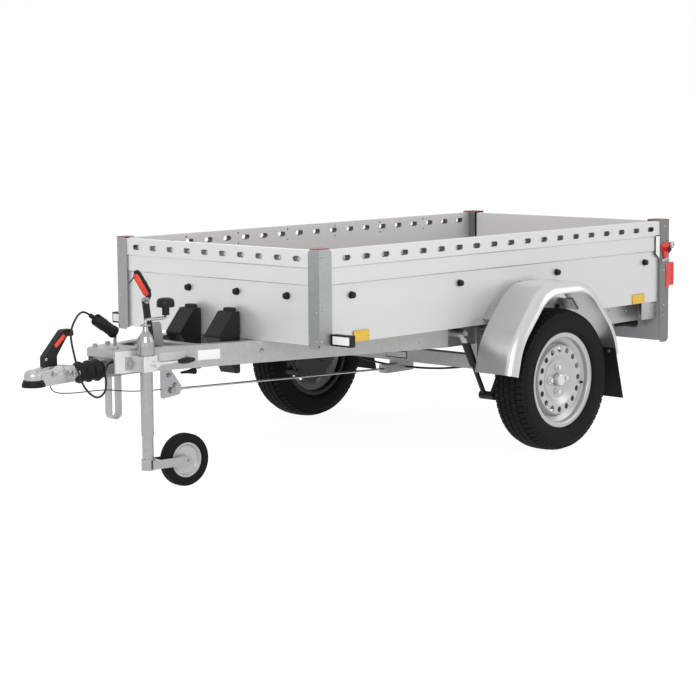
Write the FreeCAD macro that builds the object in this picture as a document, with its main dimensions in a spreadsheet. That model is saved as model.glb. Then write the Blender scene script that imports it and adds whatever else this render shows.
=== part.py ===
import FreeCAD
import Part
import math
import os
import re
import Sketcher

doc = FreeCAD.newDocument("Trailer")
Vector = FreeCAD.Vector

# Driving sizes in millimetres, degrees for angles
SIZES = {
    # Clearances shared by several pieces
    "seat_gap": 0.3, "turn_gap": 0.05, "cut_margin": 1,
    # Load box
    "box_length": 2250, "box_width": 1149, "board_top": 888, "board_height": 359,
    "strip_height": 65, "strip_thick": 30, "strip_wall": 2.5,
    "band_height": 65, "band_thick": 26, "board_thick": 21, "slope_height": 5, "floor_thick": 15,
    "slot_length": 28, "slot_width": 21, "slot_drop": 34,
    "side_slot_count": 19, "side_slot_end": 144, "front_slot_count": 10, "front_slot_end": 117.75,
    # Corner posts
    "post_face": 58, "post_side": 68, "post_wall": 3, "post_rise": 4, "post_drop": 12,
    "post_chamfer": 12, "post_round": 22, "rear_post_drop": 185, "rear_post_inside": 70, "cap_thick": 3,
    # Chassis
    "beam_height": 86, "beam_wall": 3, "beam_flange": 42, "beam_reach": 577,
    "nose_half": 75, "knee_setback": 830, "rail_inset": 84.5, "beam_tail": 200,
    "member_width": 50, "member_reach": 250, "rear_member": 130, "skirt_side": 3,
    "skirt_drop": 175, "skirt_thick": 3, "notch_half": 36, "notch_height": 6, "notch_y": 289,
    "hanger_length": 130, "hanger_thick": 6, "hanger_lap": 70,
    # Wheels
    "tyre_radius": 292.5, "tyre_width": 155, "wheel_inset": 97, "wheel_setback": 1230,
    "shoulder_round": 26, "rim_flange_radius": 195, "flange_stand": 2,
    "rim_width": 114, "rim_wall": 4, "rim_well": 152, "rim_round": 8, "bead_radius": 178,
    "bead_seat": 20, "well_slope": 14, "disc_offset": 31, "disc_thick": 5, "disc_dish": 79,
    "disc_step": 104, "disc_rise": 14, "disc_lip": 12, "disc_bore": 28, "disc_round": 5,
    "vent_count": 16, "vent_radius": 12, "vent_circle": 124, "vent_margin": 4,
    # Hubs and axle
    "bolt_count": 4, "bolt_circle": 50, "bolt_head": 9.5, "bolt_reach": 12, "hub_radius": 25,
    "hub_cap_reach": 22, "hub_cap_round": 7, "drum_radius": 125, "drum_width": 52, "drum_round": 14,
    "drum_gap": 5, "back_plate_thick": 4, "back_plate_lip": 4, "stub_radius": 16, "stub_short": 2,
    "arm_length": 160, "saddle_height": 57, "axle_square": 56, "axle_inset": 145, "arm_thick": 36,
    "arm_end": 36, "arm_eye": 30, "arm_round": 14,
    "damper_radius": 17, "damper_lever": 10, "damper_eye": 36, "damper_inset": 19,
    "damper_low_setback": 1000, "damper_low_drop": 123,
    "damper_high_setback": 860, "damper_high_drop": 29,
    # Mudguards, heights and lengths from the wheel's centre
    "guard_gap": 33.5, "guard_width": 192, "guard_sheet": 2.5, "guard_lip": 42, "guard_round": 40,
    "guard_front": 338, "guard_shoulder": 190, "guard_top_half": 150, "guard_crown": 402,
    "guard_toe": 372, "guard_toe_level": 57, "guard_heel": 365, "guard_heel_level": 87,
    "guard_knee_round": 300, "guard_crown_round": 200,
    "bracket_length": 66, "bracket_start": 98, "bracket_height": 34, "bracket_thick": 5,
    "bracket_lap": 30, "flap_lap": 18, "flap_bottom": 180, "flap_thick": 6, "flap_inset": 8,
    # Coupling, heights from the coupling's axis
    "nose_reach": 938, "ball_radius": 25, "ball_gap": 0.1, "cap_radius": 43, "cap_height": 25,
    "cap_rim": 8, "cap_clearance": 2.5, "coupling_drop": 74, "socket_drop": 31, "socket_depth": 26,
    "head_shell": 9, "head_half": 31, "neck_half": 22, "neck_round": 5, "head_rise": 31, "head_drop": 28,
    "head_crest": 37, "crest_setback": 127, "casing_front": 53, "dome_height": 62, "dome_round": 24,
    "bellows_radius": 42, "bellows_start": 580, "bellows_end": 706, "collar_length": 14,
    "fold_count": 3, "fold_depth": 12, "fold_round": 6,
    "shaft_radius": 22, "housing_radius": 32, "housing_end": 300, "flange_face": 560,
    "flange_thick": 8, "flange_inset": 28, "nose_plate_thick": 5, "nose_plate_length": 130,
    "nose_lip": 28, "nose_round": 10, "nut_radius": 10, "nut_height": 11, "nut_back": 24, "nut_pitch": 80,
    # Coupling handle
    "handle_thick": 28, "handle_foot": 57, "handle_foot_rise": 36, "handle_rise": 129,
    "handle_reach": 136, "handle_depth": 24, "handle_slope": 88, "handle_bend": 19, "handle_round": 12,
    # Rest hoop
    "hoop_x": 521, "hoop_gap": 42, "hoop_drop": 193, "hoop_width": 36, "hoop_thick": 5, "hoop_lap": 9,
    # Brake gear
    "lever_y": 36, "lever_pivot_x": 358, "lever_pivot_rise": 61, "lever_top_x": 385, "lever_top_rise": 243,
    "lever_bar": 28, "lever_flat": 10, "lever_boss": 18, "joint_radius": 10, "joint_length": 34,
    "grip_radius": 12, "grip_round": 8, "grip_length": 92, "grip_lean": 35, "button_radius": 6,
    "button_length": 10, "grip_back": 20,
    "plate_back": 264, "plate_front": 392, "plate_rise": 155, "plate_half": 4, "plate_round": 14,
    "plate_step": 18,
    "link_x": 240, "link_drop": 29, "link_gap": 1, "link_thick": 8, "link_half": 52, "link_round": 10,
    "rod_front_x": 186, "rod_front_drop": 102, "rod_rear_x": -975, "rod_rear_drop": 60, "rod_radius": 4.5,
    "equal_length": 170, "equal_width": 46, "equal_height": 34, "cable_diameter": 9,
    # Light plug in its holder
    "plug_x": 583, "plug_y": -50, "plug_rise": 126, "plug_lean": 57, "plug_length": 126, "plug_radius": 22,
    "plug_neck": 24, "plug_shoulder": 46, "gland_radius": 9, "plug_round": 3, "cup_wall": 2,
    "cup_length": 12, "stem_width": 12, "stem_thick": 5, "stem_back": 16,
    "lead_diameter": 8, "wire_diameter": 4,
    # Jockey wheel
    "jockey_x": 479, "jockey_y": 142, "jockey_tube_radius": 24, "jockey_tube_wall": 2.5,
    "jockey_tube_bottom": 209, "jockey_head_gap": 4, "jockey_head_radius": 33, "jockey_head_height": 48,
    "jockey_cone_height": 20, "jockey_cone_radius": 26, "jockey_neck_radius": 12, "jockey_neck_height": 66,
    "jockey_neck_taper": 5,
    "jockey_wheel_radius": 100, "jockey_wheel_width": 50, "jockey_trail": 164, "jockey_swivel": 7,
    "jockey_retract": 55, "slide_clearance": 0.3, "leg_top_gap": 6,
    "fork_gap": 5, "fork_sheet": 4, "fork_height": 34, "fork_round": 15, "collar_height": 42,
    "bridge_front": 14, "bridge_length": 20, "pin_radius": 6, "pin_reach": 6,
    "small_hub": 14, "small_web": 18, "small_web_half": 6, "small_rim": 52, "small_bead": 66,
    "small_bead_half": 18, "small_wall": 6, "small_round": 12,
    "crank_radius": 6, "crank_reach": 101, "crank_rise": 15, "crank_round": 10, "knob_stem": 14,
    "knob_stem_rise": 10, "knob_stem_length": 30, "knob_radius": 33, "knob_rim": 20, "knob_height": 34,
    "knob_round": 12, "knob_edge": 2.5,
    "clamp_drop": 20, "clamp_height": 59, "clamp_half": 34, "clamp_wall": 7, "clamp_screw": 18,
    "clamp_boss": 11, "clamp_level": 28, "clamp_reach": 116, "clamp_rod": 4, "clamp_grip": 70,
    "clamp_grip_radius": 9, "clamp_grip_round": 8,
    # Chocks, lamps, reflectors and knobs
    "chock_drop": 133, "chock_height": 240, "chock_peak": 149, "chock_depth": 112, "chock_width": 84,
    "chock_y": 110, "chock_seat": 8, "chock_tip": 24, "chock_neck": 34, "chock_heel": 115,
    "chock_round": 8, "chock_grip_depth": 26, "chock_grip_width": 44, "chock_grip_rise": 14,
    "holder_half": 25,
    "marker_back": 56, "marker_depth": 26, "marker_reach": 7, "marker_width": 98, "marker_height": 44,
    "marker_arm_inset": 3, "reflector_width": 86, "reflector_height": 42, "reflector_front": 194,
    "reflector_rear": 174, "reflector_thick": 4, "reflector_lift": 1,
    "knob_count": 4, "knob_start": 186, "knob_end": 171, "knob_drop": 178, "hook_radius": 8,
    "hook_length": 14, "front_knob_pitch": 275.5, "front_knob_start": -432,
    # Rear end
    "lamp_depth": 40, "lamp_height": 106, "lamp_width": 70, "lamp_rise": 65, "lamp_round": 8,
    "hinge_drop": 38, "hinge_radius": 8, "hinge_length": 34, "hinge_half": 28, "hinge_thick": 5,
    "lug_half": 12, "lug_thick": 10, "lug_end": 14, "lug_inset": 30, "gate_gap": 5, "gate_inset": 28,
    "latch_drop": 97, "latch_height": 69, "latch_length": 79, "latch_overhang": 14, "latch_slant": 24,
    "latch_thick": 8, "latch_round": 8, "latch_knob": 10, "latch_knob_x": 19, "latch_knob_drop": 30,
    "latch_knob_length": 14,
}

# Places worked out from the sizes
PLACES = {
    "front_x": "(box_length + lamp_depth - nose_reach) / 2",
    "rear_x": "front_x - box_length",
    "half_width": "box_width / 2",
    "rail_half": "half_width - rail_inset",
    "board_half": "half_width - post_wall",
    "board_x": "front_x - post_wall",
    "skin_y": "board_half - strip_thick + board_thick",
    "skin_x": "board_x - strip_thick + board_thick",
    "inner_half": "board_half - strip_thick",
    "post_top": "board_top + post_rise",
    "floor_low": "board_top - board_height",
    "beam_low": "floor_low - beam_height",
    "axle_height": "beam_low - saddle_height - axle_square / 2",
    "coupling_height": "floor_low - coupling_drop",
    "hoop_bottom": "coupling_height - hoop_drop",
    "rod_front_z": "beam_low - rod_front_drop",
    "rod_rear_z": "axle_height - rod_rear_drop",
    "side_slot_pitch": "(box_length - 2 * side_slot_end) / (side_slot_count - 1)",
    "front_slot_pitch": "(box_width - 2 * front_slot_end) / (front_slot_count - 1)",
    "nose_x": "front_x + beam_reach",
    "knee_x": "front_x - knee_setback",
    "tail_x": "knee_x - beam_tail",
    "beam_slope": "(rail_half - nose_half) / (beam_reach + knee_setback)",
    "rear_post_bottom": "floor_low - rear_post_drop",
    "wheel_x": "front_x - wheel_setback",
    "guard_inner": "half_width + guard_gap",
    "wheel_y": "guard_inner + wheel_inset",
    "axle_half": "wheel_y - axle_inset",
    "damper_y": "axle_half - damper_inset",
    "face_y": "wheel_y + disc_offset",
    "plate_y": "face_y - disc_thick - drum_width - drum_gap - back_plate_thick",
    "axle_x": "wheel_x + arm_length",
    "half_rim": "rim_width / 2",
    "half_tyre": "tyre_width / 2",
    "guard_outer": "guard_inner + guard_width",
    "slant": "sqrt((guard_front - guard_top_half)^2 + (guard_crown - guard_shoulder)^2)",
    "slant_x": "(guard_front - guard_top_half) / slant",
    "slant_z": "(guard_crown - guard_shoulder) / slant",
    "heel_slope": "(guard_heel - guard_front) / (guard_shoulder - guard_heel_level)",
    "ball_x": "front_x + nose_reach - cap_radius",
    "socket_bottom": "coupling_height - socket_drop",
    "head_back": "front_x + bellows_end + collar_length",
    "head_top": "coupling_height + head_crest + seat_gap",
    "fold": "(bellows_end - bellows_start) / fold_count",
    "lever_pivot_z": "coupling_height + lever_pivot_rise",
    "lever_top_z": "coupling_height + lever_top_rise",
    "leg_x": "front_x + jockey_x",
    "clamp_top": "floor_low - clamp_drop",
    "clamp_bottom": "clamp_top - clamp_height",
    "jockey_head_low": "clamp_top + jockey_head_gap",
    "jockey_head_top": "jockey_head_low + jockey_head_height",
    "jockey_neck_top": "jockey_head_top + jockey_neck_height",
    "crank_level": "jockey_neck_top + crank_rise",
    "leg_radius": "jockey_tube_radius - jockey_tube_wall - slide_clearance",
    "leg_bottom": "jockey_wheel_radius - collar_height / 2",
    "leg_top": "jockey_head_top - jockey_retract - leg_top_gap",
    "cheek": "jockey_wheel_width / 2 + fork_gap",
    "small_half": "jockey_wheel_width / 2",
    "chock_low": "floor_low - chock_drop",
    "knob_level": "board_top - knob_drop",
    "knob_pitch": "(box_length - knob_start - knob_end) / (knob_count - 1)",
    "plug_z": "floor_low + plug_rise",
    "gate_half": "half_width - rear_post_inside - gate_gap",
    "gate_x": "rear_x + gate_inset",
    "hinge_x": "gate_x + strip_thick / 2",
    "hinge_z": "floor_low - hinge_drop",
    "latch_top": "board_top - latch_drop",
}

sheet = doc.addObject("Spreadsheet::Sheet", "Sizes")
for row, (alias, value) in enumerate(SIZES.items(), 1):
    sheet.set("A%d" % row, alias.replace("_", " "))
    sheet.set("B%d" % row, str(value))
    sheet.setAlias("B%d" % row, alias)

places = doc.addObject("App::VarSet", "Places")
WORD = re.compile(r"[a-z][a-z_]*")


def full(text):
    """Expression with each size and place named in full."""
    def home(match):
        word = match.group(0)
        if word in SIZES:
            return "Sizes." + word
        return "Places." + word if word in PLACES else word
    return WORD.sub(home, str(text))


for alias, text in PLACES.items():
    places.addProperty("App::PropertyFloat", alias, "Places", "")
    places.setExpression(alias, full(text))
doc.recompute()


def value(text):
    """Number that an expression gives now."""
    return float(places.evalExpression(full(text)))


def bind(item, name, text):
    """Ties a property to an expression in sizes and places."""
    item.setExpression(name, full(text))


def put(item, at):
    """Binds the base of an object's placement."""
    for axis, text in zip("xyz", at):
        bind(item, "Placement.Base." + axis, text)


TURNS = {"X": FreeCAD.Rotation(Vector(0, 1, 0), 90), "Y": FreeCAD.Rotation(Vector(1, 0, 0), -90),
         "Z": FreeCAD.Rotation()}


def box(name, size, at):
    """Block with its lowest corner at a place."""
    item = doc.addObject("Part::Box", name)
    for prop, text in zip(("Length", "Width", "Height"), size):
        bind(item, prop, text)
    put(item, at)
    return item


def rod(name, radius, length, at, axis="Z"):
    """Round bar that starts at a place and runs along an axis."""
    item = doc.addObject("Part::Cylinder", name)
    bind(item, "Radius", radius)
    bind(item, "Height", length)
    item.Placement = FreeCAD.Placement(Vector(), TURNS[axis])
    put(item, at)
    return item


def hexagon(name, radius, length, at):
    """Upright six-sided nut that stands on a place."""
    item = doc.addObject("Part::Prism", name)
    item.Polygon = 6
    bind(item, "Circumradius", radius)
    bind(item, "Height", length)
    put(item, at)
    return item


def fuse(name, *items):
    """One solid of several that overlap."""
    item = doc.addObject("Part::MultiFuse", name)
    item.Shapes = list(items)
    return item


def cut(name, base, *tools):
    """A piece less one or more others."""
    item = doc.addObject("Part::Cut", name)
    item.Base = base
    item.Tool = tools[0] if len(tools) == 1 else fuse(name + "Tools", *tools)
    return item


def common(name, first, second):
    """What two pieces share."""
    item = doc.addObject("Part::Common", name)
    item.Base = first
    item.Tool = second
    return item


def across(name, source, normal=Vector(0, 1, 0), base=None):
    """Twin of an object on the trailer's other side, or on the other side of a plane."""
    item = doc.addObject("Part::Mirroring", name)
    item.Source = source
    item.Normal = normal
    if base:
        bind(item, "Base.x", base)
    return item


def pair(name, source):
    """One object with a piece and its twin."""
    return group(name, source, across(name + "Twin", source))


def group(name, *items):
    """One object of several separate pieces."""
    whole = doc.addObject("Part::Compound", name)
    whole.Links = list(items)
    return whole


def origin_part(body, role):
    """Plane or axis of a body's own origin."""
    return [item for item in body.Origin.OriginFeatures if item.Role == role][0]


def hold(sketch, kind, geometry, text):
    """Adds a measured constraint bound to the sizes."""
    number = sketch.addConstraint(Sketcher.Constraint(kind, *geometry, value(text)))
    bind(sketch, "Constraints[%d]" % number, text)


def place_point(sketch, geometry, spot, u, v):
    """Holds a point of the sketch at bound distances from its origin."""
    hold(sketch, "DistanceX", (-1, 1, geometry, spot), u)
    hold(sketch, "DistanceY", (-1, 1, geometry, spot), v)


def corner_arc(corner, back, ahead, radius):
    """Arc that rounds a corner between two directions, and whether it runs with the outline."""
    half = back.getAngle(ahead) / 2
    centre = corner + (back + ahead).normalize() * (radius / math.sin(half))
    reach = radius / math.tan(half)
    with_outline = (ahead.cross(back)).z > 0
    ends = [corner + back * reach, corner + ahead * reach]
    if not with_outline:
        ends.reverse()
    angles = [math.atan2(end.y - centre.y, end.x - centre.x) for end in ends]
    return Part.ArcOfCircle(Part.Circle(centre, Vector(0, 0, 1), radius), *angles), with_outline


def draw(sketch, corners, closed=True):
    """Draws an outline through corners; a third value in a corner is the radius that rounds it."""
    spots = [Vector(value(corner[0]), value(corner[1]), 0) for corner in corners]
    count = len(spots)
    radii = [value(corner[2]) if len(corner) > 2 else 0 for corner in corners]
    runs = count if closed else count - 1
    first = sketch.GeometryCount
    ways = [(spots[(index + 1) % count] - spots[index]).normalize() for index in range(count)]
    reach = [radii[i] * math.tan(ways[i].getAngle(ways[i - 1]) / 2) if radii[i] else 0 for i in range(count)]
    for i in range(runs):
        after = (i + 1) % count
        line = Part.LineSegment(spots[i] + ways[i] * reach[i], spots[after] - ways[i] * reach[after])
        sketch.addGeometry(line, False)
    for i, corner in enumerate(corners):
        before = first + (i - 1) % count
        line = first + i
        if not radii[i]:
            if closed or 0 < i < runs:
                sketch.addConstraint(Sketcher.Constraint("Coincident", before, 2, line, 1))
            on_last = not closed and i == runs
            place_point(sketch, before if on_last else line, 2 if on_last else 1, corner[0], corner[1])
            continue
        arc, with_outline = corner_arc(spots[i], ways[i - 1] * -1, ways[i], radii[i])
        bend = sketch.addGeometry(arc, False)
        mark = sketch.addGeometry(Part.Point(spots[i]), True)
        near, far = (1, 2) if with_outline else (2, 1)
        for constraint in (("Tangent", before, 2, bend, near), ("Tangent", bend, far, line, 1),
                           ("PointOnObject", mark, 1, before), ("PointOnObject", mark, 1, line)):
            sketch.addConstraint(Sketcher.Constraint(*constraint))
        hold(sketch, "Radius", (bend,), corner[2])
        place_point(sketch, mark, 1, corner[0], corner[1])


def new_sketch(body, role, name, offset="0"):
    """Empty sketch on a plane of the body's origin, moved along the plane's normal."""
    sketch = body.newObject("Sketcher::SketchObject", name)
    sketch.AttachmentSupport = [(origin_part(body, role), "")]
    sketch.MapMode = "FlatFace"
    bind(sketch, "AttachmentOffset.Base.z", offset)
    return sketch


def prism(name, role, corners, start, length, hollow=None):
    """Body of one padded outline: YZ grows along +X, XZ along +Y and XY along +Z."""
    body = doc.addObject("PartDesign::Body", name)
    offset = "-(%s) - (%s)" % (start, length) if role == "XZ" else start
    sketch = new_sketch(body, role + "_Plane", name + "Outline", offset)
    draw(sketch, corners)
    if hollow:
        draw(sketch, hollow)
    pad = body.newObject("PartDesign::Pad", name + "Pad")
    pad.Profile = sketch
    bind(pad, "Length", length)
    return body


def turned(name, corners, at=None, axis="Z"):
    """Body turned about an axis from an outline of radius and height."""
    body = doc.addObject("PartDesign::Body", name)
    sketch = new_sketch(body, "XZ_Plane", name + "Outline")
    draw(sketch, corners)
    spin = body.newObject("PartDesign::Revolution", name + "Spin")
    spin.Profile = sketch
    spin.ReferenceAxis = (sketch, ["V_Axis"])
    spin.Angle = 360
    if at:
        body.Placement = FreeCAD.Placement(Vector(), TURNS[axis])
        put(body, at)
    return body


def lean(item, angle, at):
    """Tips an upright piece over towards +X by an angle and puts its foot at a place."""
    item.Placement = FreeCAD.Placement(Vector(), Vector(0, 1, 0), 1)
    bind(item, "Placement.Rotation.Angle", angle)
    put(item, at)
    return item


def leaning(name, radius, low, high, at_y):
    """Round bar between two places in an upright plane along the trailer."""
    reach = tuple("(%s) - (%s)" % (high[axis], low[axis]) for axis in (0, 1))
    item = doc.addObject("Part::Cylinder", name)
    bind(item, "Radius", radius)
    bind(item, "Height", "sqrt((%s)^2 + (%s)^2)" % reach)
    return lean(item, "atan2(%s; %s)" % reach, (low[0], at_y, low[1]))


def bent_rod(name, corners, radius, at_y):
    """Round bar bent in an upright plane along the trailer, its first run upright."""
    body = doc.addObject("PartDesign::Body", name)
    path = new_sketch(body, "XZ_Plane", name + "Path", "-(%s)" % at_y)
    draw(path, corners, closed=False)
    ring = new_sketch(body, "XY_Plane", name + "Ring", corners[0][1])
    centre = Vector(value(corners[0][0]), value(at_y), 0)
    ring.addGeometry(Part.Circle(centre, Vector(0, 0, 1), value(radius)), False)
    hold(ring, "Radius", (0,), radius)
    place_point(ring, 0, 3, corners[0][0], at_y)
    sweep = body.newObject("PartDesign::AdditivePipe", name + "Sweep")
    sweep.Profile = ring
    sweep.Spine = path
    return body


def channel(name, stations, low, height, wall, flange):
    """Open channel in plan: outer line through stations, web outside and flanges inside."""
    def strip(part, depth, start, tall):
        inner = [(x, "%s - (%s)" % (y, depth)) for x, y in reversed(stations)]
        return prism(name + part, "XY", list(stations) + inner, start, tall)
    return fuse(name, strip("Web", wall, low, height), strip("Sole", flange, low, wall),
                strip("Top", flange, "%s + %s - %s" % (low, height, wall), wall))


def bent_path(corners, radius_share=0.45):
    """Wire of straight runs joined by tangent arcs, each as large as its runs allow."""
    edges = []
    last = corners[0]
    smallest = math.inf
    for before, corner, after in zip(corners, corners[1:], corners[2:]):
        back = before - corner
        ahead = after - corner
        reach = radius_share * min(back.Length, ahead.Length)
        turn = math.pi - back.getAngle(ahead)
        radius = reach / math.tan(turn / 2)
        smallest = min(smallest, radius)
        back.normalize()
        ahead.normalize()
        start = corner + back * reach
        end = corner + ahead * reach
        toward = (back + ahead).normalize()
        middle = corner + toward * (radius / math.cos(turn / 2) - radius)
        edges.append(Part.LineSegment(last, start).toShape())
        edges.append(Part.Arc(start, middle, end).toShape())
        last = end
    edges.append(Part.LineSegment(last, corners[-1]).toShape())
    return Part.Wire(edges), smallest


def tube_along(name, corners, diameter):
    """Solid of a cord or cable along its route."""
    path, smallest = bent_path(corners)
    start = path.Edges[0]
    along = start.tangentAt(start.FirstParameter)
    ring = Part.Wire([Part.Circle(corners[0], along, diameter / 2).toShape()])
    solid = path.makePipeShell([ring], True, False, 2)
    item = doc.addObject("Part::Feature", name)
    item.Shape = solid
    print("%s: length %.0f, smallest radius %.1f, volume against section %.4f" % (
        name, path.Length, smallest, solid.Volume / (path.Length * math.pi * diameter ** 2 / 4)))
    return item


# Boards of the load box: a hollow holed strip on top, a middle band and a thinner board
def board_outline(outer, side):
    """Cross-section of a board with its flat face inside; side is + or - on the outward axis."""
    inner = "%s - %s * strip_thick" % (outer, side)
    band = "%s - %s * (strip_thick - band_thick)" % (outer, side)
    skin = "%s - %s * (strip_thick - board_thick)" % (outer, side)
    return [(inner, "floor_low"), (skin, "floor_low"),
            (skin, "board_top - strip_height - band_height - slope_height"),
            (band, "board_top - strip_height - band_height"),
            (band, "board_top - strip_height - slope_height"),
            (outer, "board_top - strip_height"), (outer, "board_top"), (inner, "board_top")]


def chamber_outline(outer, side):
    """Cross-section of the hollow in a board's top strip."""
    near = "%s - %s * strip_wall" % (outer, side)
    far = "%s - %s * (strip_thick - strip_wall)" % (outer, side)
    low = "board_top - strip_height + strip_wall"
    high = "board_top - strip_wall"
    return [(near, low), (near, high), (far, high), (far, low)]


def slot_sketch(body, role, name, middle):
    """Upright sketch of one long slot in a board's strip."""
    sketch = new_sketch(body, role, name)
    low = "board_top - slot_drop - slot_width / 2"
    high = "board_top - slot_drop + slot_width / 2"
    left = "%s - (slot_length - slot_width) / 2" % middle
    right = "%s + (slot_length - slot_width) / 2" % middle
    radius = value("slot_width / 2")
    level = value("board_top - slot_drop")
    for centre, start in ((left, math.pi / 2), (right, -math.pi / 2)):
        circle = Part.Circle(Vector(value(centre), level, 0), Vector(0, 0, 1), radius)
        sketch.addGeometry(Part.ArcOfCircle(circle, start, start + math.pi), False)
    for height in (low, high):
        ends = [Vector(value(u), value(height), 0) for u in (left, right)]
        sketch.addGeometry(Part.LineSegment(*ends), False)
    for constraint in (("Tangent", 0, 2, 2, 1), ("Tangent", 2, 2, 1, 1),
                       ("Tangent", 1, 2, 3, 2), ("Tangent", 3, 1, 0, 1), ("Horizontal", 2)):
        sketch.addConstraint(Sketcher.Constraint(*constraint))
    hold(sketch, "Radius", (0,), "slot_width / 2")
    place_point(sketch, 0, 3, left, "board_top - slot_drop")
    hold(sketch, "DistanceX", (-1, 1, 1, 3), right)
    return sketch


def holed_board(name, role, outer, side, start, length, slot_role, first, pitch, count, axis):
    """Board padded from its section, with a row of slots through the strip."""
    body = prism(name, role, board_outline(outer, side), start, length, chamber_outline(outer, side))
    pocket = body.newObject("PartDesign::Pocket", name + "Hole")
    pocket.Profile = slot_sketch(body, slot_role, name + "Slot", first)
    pocket.Type = "ThroughAll"
    pocket.Midplane = True
    row = body.newObject("PartDesign::LinearPattern", name + "Row")
    row.Originals = [pocket]
    row.Direction = (origin_part(body, axis), [""])
    bind(row, "Length", "%s * (%s - 1)" % (pitch, count))
    bind(row, "Occurrences", count)
    body.Tip = row
    return body


nodes = {}
side_board = holed_board(
    "SideBoard", "YZ", "board_half", "1", "rear_x + post_side",
    "board_x - rear_x - post_side - strip_thick", "XZ_Plane",
    "rear_x + side_slot_end", "side_slot_pitch", "side_slot_count", "X_Axis")
nodes["side_panel_left"] = side_board
nodes["side_panel_right"] = across("SideBoardTwin", side_board)
nodes["front_panel"] = holed_board(
    "FrontBoard", "XZ", "board_x", "1", "-board_half", "2 * board_half", "YZ_Plane",
    "front_slot_end - half_width", "front_slot_pitch", "front_slot_count", "Y_Axis")
nodes["floor_panel"] = box(
    "Floor", ("board_x - strip_thick - rear_x - post_side", "2 * inner_half", "floor_thick"),
    ("rear_x + post_side", "-inner_half", "floor_low"))


# Corner posts: angles in front and deep channels behind, with thin caps
def chamfered_leaf(name, role, fold_at, reach, start):
    """Upright leaf of an angle with its free corners cut off at the top and bottom."""
    free = "%s - %s" % (fold_at, reach)
    nick = "%s + post_chamfer" % free
    low = "floor_low - post_drop"
    return prism(name, role, [
        (fold_at, low), (fold_at, "post_top"), (nick, "post_top"), (free, "post_top - post_chamfer"),
        (free, low + " + post_chamfer"), (nick, low)], start, "post_wall")


front_post = fuse(
    "FrontPost", chamfered_leaf("FrontPostFace", "YZ", "half_width", "post_face", "front_x - post_wall"),
    chamfered_leaf("FrontPostSide", "XZ", "front_x", "post_side", "half_width - post_wall"))
nodes["corner_posts_front"] = pair("FrontPosts", front_post)
rear_web = prism("RearPostWeb", "XZ", [
    ("rear_x", "rear_post_bottom", "post_round"), ("rear_x + post_side", "rear_post_bottom", "post_round"),
    ("rear_x + post_side", "post_top"), ("rear_x", "post_top")], "half_width - post_wall", "post_wall")
flange_size = ("post_wall", "rear_post_inside", "post_top - rear_post_bottom - post_round")
rear_flanges = [
    box(name, flange_size, (at_x, "half_width - rear_post_inside", "rear_post_bottom + post_round"))
    for name, at_x in (("RearPostBack", "rear_x"), ("RearPostFront", "rear_x + post_side - post_wall"))]
nodes["corner_posts_rear"] = pair("RearPosts", fuse("RearPost", rear_web, *rear_flanges))
front_cap = box("FrontCap", ("post_side - post_chamfer", "post_face - post_chamfer", "cap_thick"),
                ("front_x - post_side + post_chamfer", "half_width - post_face + post_chamfer", "post_top"))
rear_cap = box("RearCap", ("post_side", "rear_post_inside", "cap_thick"),
               ("rear_x", "half_width - rear_post_inside", "post_top"))
nodes["post_caps"] = group("PostCaps", pair("FrontCaps", front_cap), pair("RearCaps", rear_cap))


# Chassis: two beams that meet at the nose, rails behind them and members between
def beam_line(along):
    """Distance of a drawbar beam's outer face from the middle at a place along the trailer."""
    return "(nose_half + (nose_x - (%s)) * beam_slope)" % along


beam = channel("Beam", [("nose_x", "nose_half"), ("knee_x", "rail_half"), ("tail_x", "rail_half")],
               "beam_low", "beam_height", "beam_wall", "beam_flange")
nodes["drawbar_left"] = beam
nodes["drawbar_right"] = across("BeamTwin", beam)
rail = channel("Rail", [("tail_x", "rail_half"), ("rear_x + post_side + skirt_thick", "rail_half")],
               "beam_low", "beam_height", "beam_wall", "beam_flange")
nodes["side_rails"] = pair("Rails", rail)


def member(name, front, half_front, half_back):
    """Cross member between the webs, its ends cut to the beams' slant."""
    back = "%s - member_width" % front
    corners = [(front, half_front), (back, half_back), (back, "-" + half_back), (front, "-" + half_front)]
    return prism(name, "XY", corners, "beam_low + beam_wall", "beam_height - 2 * beam_wall")


def slanted_member(name, front):
    """Cross member between the two slanted beams."""
    webs = ["(%s - beam_wall)" % beam_line(x) for x in (front, front + " - member_width")]
    return member(name, front, *webs)


web = "(rail_half - beam_wall)"
nodes["cross_members"] = group(
    "Members", slanted_member("NoseMember", "front_x + member_reach"),
    slanted_member("FrontMember", "front_x - member_width"),
    member("KneeMember", "knee_x", web, web), member("RearMember", "rear_x + rear_member", web, web))
skirt = box("Skirt", ("skirt_thick", "2 * (half_width - skirt_side)", "skirt_drop"),
            ("rear_x + post_side", "-(half_width - skirt_side)", "floor_low - skirt_drop"))
notch = box("Notch", ("3 * skirt_thick", "2 * notch_half", "2 * notch_height"),
            ("rear_x + post_side - skirt_thick", "notch_y - notch_half",
             "floor_low - skirt_drop - notch_height"))
nodes["rear_skirt"] = cut("NotchedSkirt", skirt, notch, across("NotchTwin", notch))

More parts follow.
